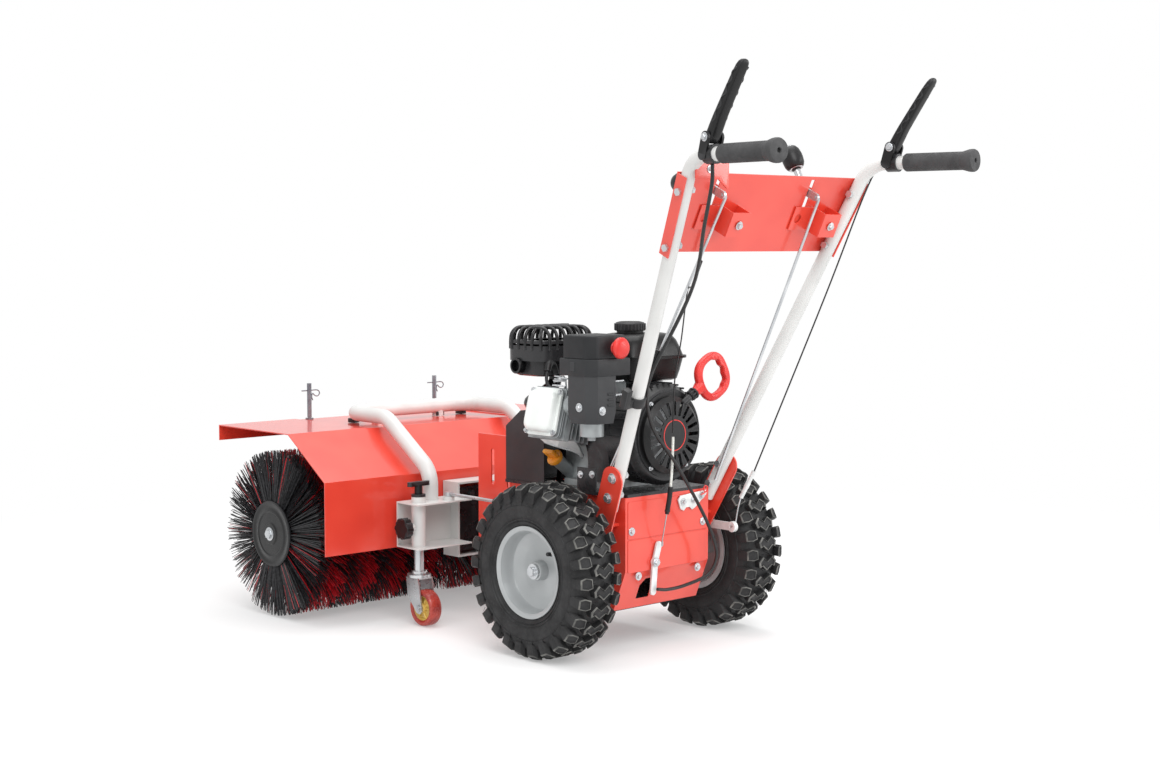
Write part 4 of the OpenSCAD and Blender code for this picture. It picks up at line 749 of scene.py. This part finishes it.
def build_silencer_guard():
    """Guard of two bands, arched bars on all sides and three long bars on top."""
    bars = 24
    bm = bmesh.new()
    wall = rounded((CAN_LOW[0] - 7, CAN_LOW[1] - 7), (CAN_HIGH[0] + 7, CAN_HIGH[1] + 7), 30, 6)
    for z, tall in ((CAN_Z + 30, 30), (CAN_Z + 64, 6)):
        add_loft(bm, [(wall, z), (wall, z + tall)], UPRIGHT)
    dense = smooth_path([(x, y, 0) for x, y in wall + wall[:1]], 6)
    gone = [0.0]
    for a, b in zip(dense, dense[1:]):
        gone.append(gone[-1] + (b - a).length)
    centre = Vector(((CAN_LOW[0] + CAN_HIGH[0]) / 2, (CAN_LOW[1] + CAN_HIGH[1]) / 2, 0))
    for n in range(bars):
        want = gone[-1] * n / bars
        i = max(k for k in range(len(gone) - 1) if gone[k] <= want)
        foot = dense[i].lerp(dense[i + 1], (want - gone[i]) / (gone[i + 1] - gone[i]))
        inward = (dense[i + 1] - dense[i]).normalized().cross(Vector(UP))
        if inward.dot(centre - foot) < 0:
            inward = -inward
        arch = []
        for step, z in ((1, 52), (1, 68), (2.5, 80), (8, 89), (18, 94.5), (40, 95.5)):
            arch.append(foot + inward * step + Vector((0, 0, CAN_Z + z)))
        add_tube(bm, arch, 3.6, smooth=3)
    for y in (142, 162, 182):
        add_tube(bm, [(CAN_LOW[0] + 24, y, CAN_Z + 96), (CAN_HIGH[0] - 24, y, CAN_Z + 96)], 2.8, 8)
    finish_piece("silencer_guard", bm, BLACK, angle=40)


def build_shield():
    """Bent shield below the cylinder with rolled edges, and the spark plug's lead."""
    top = [(-150, 115, 410), (-150, 32, 410), (-122, 21, 396), (-90, 36, 366)]
    low = [(-142, 91, 392), (-136, 58, 385), (-108, 45, 375), (-90, 38, 362)]
    bm = bmesh.new()
    for lift in (0.0, 1.6):
        shift = Vector((-lift, 0, lift * 0.6))
        rows = []
        for a, b in zip(top, low):
            rows.append([bm.verts.new(at(*(Vector(p) + shift))) for p in (a, b)])
        for one, two in zip(rows, rows[1:]):
            bm.faces.new((one[0], two[0], two[1], one[1]))
    finish_piece("heat_shield", bm, WHITE_ZINC, angle=20)
    bm = bmesh.new()
    add_tube(bm, top, 1.6, 8, smooth=4)
    add_tube(bm, low, 1.4, 8, smooth=4)
    finish_piece("shield_edges", bm, ZINC)
    boot = [(-92, 112, 520), (-96, 116, 536), (-106, 114, 545), (-116, 108, 540), (-122, 104, 528)]
    lead = [(-120, 106, 532), (-128, 100, 512), (-130, 88, 498), (-118, 62, 488), (-96, 30, 480)]
    bm = bmesh.new()
    add_tube(bm, boot, [6.5 + 2.0 * sin(pi * i / 32) for i in range(33)], 14)
    add_tube(bm, lead, 3.4)
    finish_piece("plug_lead", bm, BLACK_PLASTIC, angle=40)


# Handlebars

# Foot of a handle tube: from the middle, along the machine, and height
FOOT_X = 134
FOOT_Y = -94
FOOT_Z = 300
# Direction of the right tube up from its foot
HANDLE_RUN = Vector((0.14945, -0.43209, 0.90183)).normalized()
# How far the tubes spread from the upright
SPLAY = radians(8.5)
# The slope of the tubes: the way out of it, and the way up along it
SLOPE_OUT = Vector((0, 0.9018, 0.4321))
SLOPE_UP = Vector((0, -0.4321, 0.9018))
# Sine and cosine of the angle by which a grip turns outward
GRIP_SIN = 0.1305
GRIP_COS = 0.9914


def on_tube(k, s):
    """Point at distance s up a handle tube."""
    run = Vector((HANDLE_RUN.x * k, HANDLE_RUN.y, HANDLE_RUN.z))
    return Vector((FOOT_X * k, FOOT_Y, FOOT_Z)) + run * s


def lever_pivot(k):
    """Pivot of a clutch lever, and the way across it."""
    return Vector((243.9 * k, -443.03, 951)), Vector((GRIP_COS, GRIP_SIN * k, 0))


def build_grips():
    """Rubber grips with fine rings and a flared end with a small hole."""
    start = [(12.6, 77), (15.6, 77), (16.5, 78.5)]
    flare = [(16.6, 192), (18.2, 198), (20, 205), (20.5, 209), (20.5, 213.5), (19, 216.4), (15, 217.2),
             (5, 217.2), (4, 216), (4, 211), (0, 211)]
    rings = []
    for n in range(35):
        h = 80 + 3.2 * n
        rings += [(16.6, h), (16.6, h + 1.8), (16.2, h + 2.2), (16.2, h + 2.8)]
    bm = bmesh.new()
    for k in (-1, 1):
        matrix = axis_frame((237.24 * k, -392.49, 923), (GRIP_SIN * k, -GRIP_COS, 0))
        add_lathe(bm, start + rings + flare, matrix, 40)
    finish_piece("ringed_grips", bm, GRIP, ["grips"], 30)


def build_levers():
    """Clutch levers with a rounded tip and a finger wave on each side."""
    rise = radians(56)
    # Distance from the pivot, middle of the section, and its half thickness and half width
    stations = ((-9, 0, 6, 11.5), (-4, 0, 9.4, 12.3), (6, 0.5, 9.6, 12.4), (22, 1.6, 9.0, 12.4),
                (40, 2.6, 8.2, 12.2), (80, 2.4, 7.4, 12), (118, 2.0, 6.6, 11.8), (134, 1.4, 5.8, 11.2),
                (141, 1.0, 4.8, 9.6), (144.6, 0.8, 3.2, 6.8), (146, 0.8, 1.2, 3.2))
    # A circle drawn out towards its corners
    section = []
    for c, s in circle(1, 28):
        section.append((copysign(abs(c) ** 0.6, c), copysign(abs(s) ** 0.6, s)))
    rings = []
    for d, middle, thick, wide in stations:
        rings.append(([(wide * c, middle + thick * s) for c, s in section], d))
    for side, k in SIDES:
        run = Vector((GRIP_SIN * k, -GRIP_COS, 0))
        pivot, across = lever_pivot(k)
        along = Vector(UP) * sin(rise) + run * cos(rise)
        face = Vector(UP) * cos(rise) - run * sin(rise)
        bm = bmesh.new()
        add_loft(bm, rings, axis_frame(pivot, along, face))
        for s in (-1, 1):
            wave = []
            for d in range(28, 134, 3):
                lift = 1.5 + 2.6 * cos(d * pi / 12)
                wave.append(pivot + along * d + across * (s * 11.9) + face * lift)
            add_tube(bm, wave, 1.5, 8, smooth=2)
        finish_piece("lever_grip_" + side, bm, BLACK_PLASTIC,
                     ["clutch_lever_" + side], 40, body="clutch_lever_" + side)


def build_lever_bolts():
    """Bolts of the lever mounts, the tubes' feet and the panel, and the red tab beside it."""
    bm = bmesh.new()
    for k in (-1, 1):
        pivot, across = lever_pivot(k)
        for s in (-1, 1):
            add_bolt(bm, pivot + across * (s * 17.1), across * s, 5.5, 3.4, 7.6)
        out = Vector((k * cos(SPLAY), 0, 0)) - SLOPE_UP * sin(SPLAY)
        for s in (6, 50):
            add_bolt(bm, on_tube(k, s) + out * 15.6, out, 7.4, 5.0, 10)
    for x in (161, -89):
        spot = Vector((x, FOOT_Y, FOOT_Z)) - SLOPE_OUT * 23.6 + SLOPE_UP * 573
        add_bolt(bm, spot, -SLOPE_OUT, 5.5, 4, 8)
    add_bolt(bm, (-204, -400, 901), BACK, 4.6, 3.4, 7)
    finish_piece("lever_bolts", bm, ZINC)
    bm = bmesh.new()
    tab = [(-238, 884), (-182, 884), (-160, 868), (-156, 872), (-156, 912), (-238, 910)]
    add_prism(bm, tab, 0, 3, axis_frame((0, -397, 0), BACK), 0.8)
    finish_piece("tube_tab", bm, RED, angle=30)


def build_cables():
    """Sheathed cables from the levers down to the clutch arms."""
    long_cable = [(-243.9, -443, 906), (-238, -436, 872), (-214, -396, 800), (-178, -352, 745),
                  (-150, -310, 700), (-136, -262, 640), (-150, -206, 540), (-148, -196, 512),
                  (-118, -168, 470), (-84, -154, 424), (-26, -150, 363), (46, -150, 266), (84, -146, 206),
                  (96, -142, 168), (80, -134, 136), (30, -122, 120), (-14, -118.5, 117),
                  (-42, -118.5, 121)]
    short_cable = [(-160, -340, 745), (-146, -300, 690), (-134, -258, 640), (-140, -214, 566),
                   (-150, -200, 520)]
    thin_wire = [(-149, -308, 699), (-118, -266, 688), (-60, -196, 600), (-40, -160, 520), (-24, -140, 420)]
    right_cable = [(244, -424, 940), (243, -408, 920), (235, -376, 853), (214, -306, 670), (176, -167, 332)]
    bm = bmesh.new()
    add_tube(bm, long_cable, 3.3, 12)
    finish_piece("thick_cable", bm, CABLE, ["control_cables"], 40)
    bm = bmesh.new()
    add_tube(bm, short_cable, 2.4)
    add_tube(bm, thin_wire, 1.3, 8)
    add_tube(bm, right_cable, 1.5)
    finish_piece("thin_cables", bm, CABLE)


def build_cable_ends():
    """Sleeves and adjuster of the cables, and the bare wires hooked to the clutch arms."""
    bm = bmesh.new()
    add_tube(bm, [(-22, -139, 412), (-24, -139, 360), (-28, -139, 316)], 2.6)
    finish_piece("pale_sleeve", bm, ROPE)
    bm = bmesh.new()
    sleeve = [(-28, -139, 318), (-30, -138, 298), (-33, -137, 280), (-35, -136, 266)]
    add_tube(bm, sleeve, [4.8] * 20 + [5.4] * 2 + [4.0] * 3, 14)
    add_tube(bm, [(-140, -214, 584), (-146, -206, 556), (-150, -200, 536)], 5.2, 14)
    finish_piece("wire_sleeves", bm, BLACK_PLASTIC, angle=40)
    left_hook = [(-35, -136, 268), (-34, -128, 236), (-31, -119.5, 210), (-28, -117, 202), (-26, -117, 207),
                 (-29, -118.5, 212)]
    right_hook = [(165, -143, 280), (161, -139, 258), (159.6, -136, 238), (159.4, -134, 226),
                  (157, -134, 222), (146, -134, 222)]
    bm = bmesh.new()
    add_tube(bm, left_hook, 1.2, 8)
    add_tube(bm, right_hook, 1.4, 8)
    finish_piece("bare_wires", bm, ZINC)
    bm = bmesh.new()
    adjuster = [(176, -167, 333), (171, -156, 308), (165, -143, 279)]
    add_tube(bm, adjuster, [4.4] * 8 + [5.2] * 3 + [4.4] * 6, 16)
    finish_piece("cable_adjuster", bm, WHITE_ZINC)


def build_tube_clamp():
    """Black clamp that holds the cables to the left tube."""
    matrix = axis_frame(on_tube(-1, 216), (-HANDLE_RUN.x, HANDLE_RUN.y, HANDLE_RUN.z), AHEAD)
    inner = turned(matrix, 1, 2)
    bm = bmesh.new()
    add_lathe(bm, [(12.6, -9), (16.4, -9), (17, -8), (17, 8), (16.4, 9), (12.6, 9), (12.6, -9)], matrix, 40)
    add_prism(bm, rounded((14, -8), (32, 8), 2.5, 3), -8, 8, inner, 1.2)
    add_prism(bm, rounded((24, -7), (38, 9), 3, 3), -6, 30, inner, 1.5)
    finish_piece("tube_clamp", bm, BLACK_PLASTIC)


def build_lever_knobs():
    """Black knobs on the gear and swivel levers."""
    knob = [(0, -2), (8, -2), (9, 0), (13.4, 0.6), (16.4, 4), (18.6, 9), (19.6, 18), (19.4, 26),
            (17.6, 35.5), (14, 41.5), (8, 46), (0, 47.6)]
    for name, x, degrees in (("gear_lever", 112, 38), ("swivel_lever", -138, -18)):
        rise = radians(degrees)
        pivot = Vector((x, FOOT_Y, FOOT_Z)) + SLOPE_OUT * 24.5 + SLOPE_UP * 623
        along = SLOPE_OUT * cos(rise) + SLOPE_UP * sin(rise)
        bm = bmesh.new()
        add_lathe(bm, knob, axis_frame(pivot + along * 44, along), 40)
        finish_piece(name + "_knob", bm, BLACK_PLASTIC, angle=45, body=name)


# Starter

# Pull line of the recoil starter: where it begins, its direction, and the way across it
PULL_BASE = Vector((-18, -113.5, 443.2))
PULL = Vector((0.866, 0, 0.5))
PULL_ACROSS = Vector((-0.5, 0, 0.866))


def build_starter_loop():
    """Loop handle with finger waves inside its far end, and the neck that joins it to the rope."""
    steps = 96
    loop = PULL_BASE + PULL * 150
    bm = bmesh.new()
    rings = []
    for i in range(steps):
        a = tau * i / steps
        c, d = cos(a), sin(a)
        outer = (abs(c / 43) ** 2.6 + abs(d / 45.5) ** 2.6) ** (-1 / 2.6)
        inner = (abs(c / 29) ** 2.4 + abs(d / 32.5) ** 2.4) ** (-1 / 2.4)
        if c > 0.25:
            inner += 1.7 * cos(a * 9) * min(1.0, (c - 0.25) * 3)
        half = [(inner, 2), (inner + 0.4, 5), (inner + 2, 6.9), (outer - 3, 6.9), (outer - 0.8, 5),
                (outer, 2)]
        ring = []
        for r, y in both_halves(half):
            spot = loop + PULL * (r * c) + PULL_ACROSS * (r * d) + Vector((0, y, 0))
            ring.append(bm.verts.new(at(*spot)))
        rings.append(ring)
    skin(bm, rings + rings[:1], ends=False)
    add_lathe(bm, [(0, 0), (8.5, 0), (9.5, 2), (10, 8), (13, 16), (14, 20), (0, 20)],
              axis_frame(loop - PULL * 58, PULL, AHEAD), 28)
    finish_piece("starter_loop", bm, RED_PLASTIC,
                 ["starter_handle"], 50, body="starter_handle")


def build_starter_line():
    """Fluted bush and rope behind the loop, and the red ring on the starter's face."""
    flutes = 10
    neck = axis_frame(PULL_BASE + PULL * 78, PULL, AHEAD)
    bm = bmesh.new()
    add_lathe(bm, [(0, 0), (8, 0), (9, 1.5), (9, 10), (11.5, 11), (12, 13), (11, 15), (0, 15)], neck, 28)
    for n in range(flutes):
        add_prism(bm, rounded((8, -1.2), (11, 1.2), 0.7, 2), 1, 10.5, turned(neck, n, flutes), 0.4, 1)
    finish_piece("starter_bush", bm, BLACK_PLASTIC, body="starter_handle")
    bm = bmesh.new()
    add_tube(bm, [PULL_BASE + PULL * 40, PULL_BASE + PULL * 79], 2.3, smooth=0)
    finish_piece("starter_rope", bm, ROPE, body="starter_handle")
    bm = bmesh.new()
    face = axis_frame((0, -122, CRANK_Z), BACK)
    add_lathe(bm, [(28.2, -0.4), (28.2, 0.5), (29.8, 0.5), (29.8, -0.4)], face, 64)
    finish_piece("starter_ring", bm, RED_PLASTIC)


# Back of the frame

def build_rear_cover():
    """Lapped sheets of the rear cover, and the dark drive housing behind its window."""
    bm = bmesh.new()
    back = axis_frame((0, -104.2, 0), BACK)
    for low, high in ((157, 219), (221, 292)):
        add_prism(bm, rounded((-107, low), (107, high), 2, 2), 0, 1.1, back, 0.5, 1)
    finish_piece("cover_laps", bm, RED, angle=30)
    bm = bmesh.new()
    inside = axis_frame((0, -52, 0), BACK)
    drum = [(0, 4), (52, 4), (58, 8), (58, 16), (50, 18), (0, 18)]
    add_prism(bm, rounded((-100, 76), (100, 286), 6, 3), 0, 4, inside, 1.0)
    add_lathe(bm, drum, axis_frame((0, -52, 178), BACK))
    finish_piece("drive_housing", bm, BLACK)


def build_rear_fittings():
    """Bracket, bolts and red clip on the rear cover, and the eyes of the right clutch arm."""
    bm = bmesh.new()
    bracket = [(24, 284), (31, 266), (40, 262), (46, 268), (56, 268), (63, 262), (72, 266), (102, 288),
               (106, 297), (70, 295), (30, 292)]
    add_prism(bm, bracket, 0, 3, axis_frame((0, -106, 0), BACK), 0.8)
    finish_piece("crank_bracket", bm, WHITE_ZINC, angle=25)
    bm = bmesh.new()
    for x, z in ((-80, 149), (81, 147), (96, 236), (-98, 236)):
        add_bolt(bm, (x, -105.4, z), BACK, 5.0, 3.6, 8.0)
    for x, z in ((38, 280), (66, 281), (88, 287)):
        add_bolt(bm, (x, -109.2, z), BACK, 4.4, 4.0, 7.0)
    add_bolt(bm, (-40, -113.4, 172), BACK, 6.0, 4.4, 9.0)
    finish_piece("rear_bolts", bm, ZINC)
    bm = bmesh.new()
    clip = [(82, 290), (90, 292), (98, 296), (100, 303), (94, 306), (89, 301), (92, 295)]
    add_tube(bm, [(x, -114, z) for x, z in clip], 1.3, 8)
    finish_piece("red_clip", bm, RED_PLASTIC)
    bm = bmesh.new()
    for y, r in ((-52, 13), (-134, 10.5)):
        eye = [(4, 0), (r - 1, 0), (r, 1), (r, 9), (r - 1, 10), (4, 10), (4, 0)]
        add_lathe(bm, eye, axis_frame((156.4, y, 222), LEFT), 32)
    finish_piece("arm_eyes", bm, WHITE_ZINC, angle=30, body="clutch_arm_right")


# Small parts of the brush head

# Axis of the castor clamps' star knobs, along the machine and in height
STAR = (394, 200)


def build_head_trim():
    """Star knobs of the castor clamps, wire clips of the posts, and pads under the guard tube."""
    outline = []
    for n in range(60):
        a = tau * n / 60
        r = 20.4 + 2.4 * cos(6 * a)
        outline.append((r * cos(a), r * sin(a)))
    bm = bmesh.new()
    for k in (-1, 1):
        star = axis_frame((k * 239, *STAR), (k, 0, 0))
        add_prism(bm, outline, 5, 21, star, 1.6, 3)
        add_lathe(bm, [(0, 0), (10, 0), (10, 3.4), (0, 3.4)], star, 24)
    finish_piece("star_knobs", bm, BLACK_PLASTIC, angle=45, body="head")
    clip = [(-20, 450), (0, 450), (18, 450.5), (25, 448), (27, 442), (22, 437), (15, 438), (9, 443),
            (6.4, 436), (9, 428)]
    bm = bmesh.new()
    for x in (-176, 176):
        add_tube(bm, [(x + u, 836, z) for u, z in clip], 1.3, 8)
    finish_piece("post_clips", bm, STEEL, body="head")
    bm = bmesh.new()
    for x, half in ((-85, 11), (85, 11), (-150, 10), (150, 10)):
        add_prism(bm, rounded((x - half, 696), (x + half, 716), 4, 3), 387, 396, UPRIGHT, 2)
    finish_piece("guard_pads", bm, BLACK_PLASTIC, body="head")


def build_castors():
    """Round red treads on yellow hubs with six spokes."""
    tread = [(25, 10.5), (27, 12.6), (31, 13.8), (34.5, 13.2), (36.3, 11), (37, 6)]
    hub = [(5.2, 14), (9, 14), (9.6, 13), (10.4, 7.5), (20, 6.5), (22.5, 9.5), (25.2, 11)]
    spokes = 6
    for side, k in SIDES:
        body = "castor_wheel_" + side
        matrix = axis_frame((k * 215, 372, 37), RIGHT)
        bm = bmesh.new()
        add_lathe(bm, both_halves(tread), matrix, 64)
        finish_piece("castor_tread_" + side, bm, TREAD_RED, [body], 40, body=body)
        bm = bmesh.new()
        add_lathe(bm, both_halves(hub), matrix)
        for n in range(spokes):
            spoke = turned(matrix, n, spokes)
            add_prism(bm, rounded((9, -1.6), (22, 1.6), 0.8, 2), -10.5, 10.5, spoke, 0.6, 1)
        finish_piece("castor_hub_" + side, bm, HUB_YELLOW, body=body)


# Look of the solids

# Names of the nodes by material
NODE_LOOKS = {
    RED: "side_plate_left side_plate_right rear_cover swivel_tower control_panel hood",
    GREY: "handle_left handle_right guard_tube castor_brackets swivel_yoke",
    ZINC: "axle_bearings frame_bolts crankshaft axle drive_shaft input_shaft castor_stem_left "
          "castor_stem_right castor_fork_left castor_fork_right gear_rod swivel_rod tie_rod gear_lever "
          "swivel_lever",
    STEEL: "hood_pins",
    WHITE_ZINC: "clutch_arm_left clutch_arm_right",
    CAST: "engine_block carburettor",
    PALE_ALLOY: "valve_cover",
    BLACK: "engine_tray muffler fan_shroud brush_gearbox brush_shaft",
    GUARD: "belt_guard",
    TANK: "fuel_tank",
    CHARCOAL: "carb_cover",
    BLACK_PLASTIC: "recoil_cover lever_mounts castor_knob_left castor_knob_right clutch_lever_left "
                   "clutch_lever_right fuel_cap",
    GRIP: "grips",
    CABLE: "control_cables drive_belt",
    ORANGE: "dipstick",
    RED_PLASTIC: "starter_handle choke_knob",
    TREAD_RED: "castor_wheel_left castor_wheel_right",
    TYRE: "tyre_left tyre_right",
    RIM: "rims",
    BRISTLE_BLACK: "bristles_left bristles_right",
}


def dress_nodes():
    """Gives each node its material, and the clamp knobs of the castors black plastic."""
    for mat, names in NODE_LOOKS.items():
        for name in names.split():
            mesh = nodes[name].data
            mesh.materials.clear()
            mesh.materials.append(mat)
            for face in mesh.polygons:
                face.material_index = 0
    brackets = nodes["castor_brackets"]
    brackets.data.materials.append(BLACK_PLASTIC)
    for face in brackets.data.polygons:
        spot = brackets.matrix_world @ face.center
        from_knob = (Vector((0, spot.y, spot.z)) - at(0, *STAR)).length
        if abs(spot.x) > 238.5 * MM and from_knob < 25 * MM:
            face.material_index = 1


# Floor, light and camera

# White for the floor's glow and the background
WHITE = (1, 1, 1, 1)


def mix_shaders(tree, factor, first, second, target):
    """Blends two shaders by a factor into the output node of a tree."""
    mix = tree.nodes.new("ShaderNodeMixShader")
    tree.links.new(factor, mix.inputs["Fac"])
    tree.links.new(first.outputs[0], mix.inputs[1])
    tree.links.new(second.outputs[0], mix.inputs[2])
    tree.links.new(mix.outputs["Shader"], tree.nodes.new(target).inputs["Surface"])


def build_floor():
    """Pale floor just under the wheels that fades to white with the distance."""
    size = 30.0
    corners = ((-size, -size), (size, -size), (size, size), (-size, size))
    mesh = bpy.data.meshes.new("floor")
    mesh.from_pydata([(x, y, -0.0005) for x, y in corners], [], [(0, 1, 2, 3)])
    floor = add_object("floor", mesh)
    mat = bpy.data.materials.new("pale_floor")
    mat.use_nodes = True
    tree = mat.node_tree
    tree.nodes.clear()
    matt = add_node(tree, "BsdfDiffuse", {"Color": (0.9, 0.9, 0.9, 1)})
    glow = add_node(tree, "Emission", {"Color": WHITE, "Strength": 1.0})
    length = tree.nodes.new("ShaderNodeVectorMath")
    length.operation = "LENGTH"
    tree.links.new(tree.nodes.new("ShaderNodeTexCoord").outputs["Object"], length.inputs[0])
    far = spread(tree, length.outputs["Value"], 0.5, 2.2, 0.3, 1.0)
    mix_shaders(tree, far, matt, glow, "ShaderNodeOutputMaterial")
    mesh.materials.append(mat)


def build_world():
    """Soft white light from all round, in front of a plain white background."""
    world = bpy.data.worlds.new("studio")
    scene.world = world
    world.use_nodes = True
    tree = world.node_tree
    tree.nodes.clear()
    soft = add_node(tree, "Background", {"Color": WHITE, "Strength": 0.84})
    plain = add_node(tree, "Background", {"Color": WHITE, "Strength": 1.0})
    seen = tree.nodes.new("ShaderNodeLightPath").outputs["Is Camera Ray"]
    mix_shaders(tree, seen, soft, plain, "ShaderNodeOutputWorld")


def build_lamps():
    """Three broad lamps aimed at the middle of the machine."""
    middle = Vector((0, 0, 0.35))
    # Name, place, size and power
    lamps = (
        ("key", (-1.6, -2.6, 3.0), 2.2, 70),
        ("fill", (2.4, -2.8, 1.5), 2.0, 44),
        ("top", (0.2, 0.3, 3.4), 2.6, 56),
    )
    for name, spot, size, power in lamps:
        data = bpy.data.lights.new(name, "AREA")
        data.size = size
        data.energy = power
        lamp = add_object(name, data)
        lamp.location = spot
        lamp.rotation_euler = (middle - Vector(spot)).to_track_quat("-Z", "Y").to_euler()


def build_camera():
    """Camera behind the left wheel, looking slightly down along the machine."""
    data = bpy.data.cameras.new("camera")
    data.lens = 56.31
    data.sensor_width = 36.0
    camera = add_object("camera", data)
    camera.location = at(-2464.2, -2512.9, 776.8)
    camera.rotation_euler = (radians(90 - 4.548), 0, radians(-42.859))
    scene.camera = camera
    scene.view_settings.view_transform = "Standard"


dress_nodes()
build_floor()
build_world()
build_lamps()
build_camera()
build_strands()
build_brush_core()
build_wheels()
build_carb_cover()
build_tank()
build_shroud()
build_engine_bolts()
build_cylinder_head()
build_throttle()
build_dipstick()
build_silencer()
build_silencer_guard()
build_shield()
build_grips()
build_levers()
build_lever_bolts()
build_cables()
build_cable_ends()
build_tube_clamp()
build_lever_knobs()
build_starter_loop()
build_starter_line()
build_rear_cover()
build_rear_fittings()
build_head_trim()
build_castors()
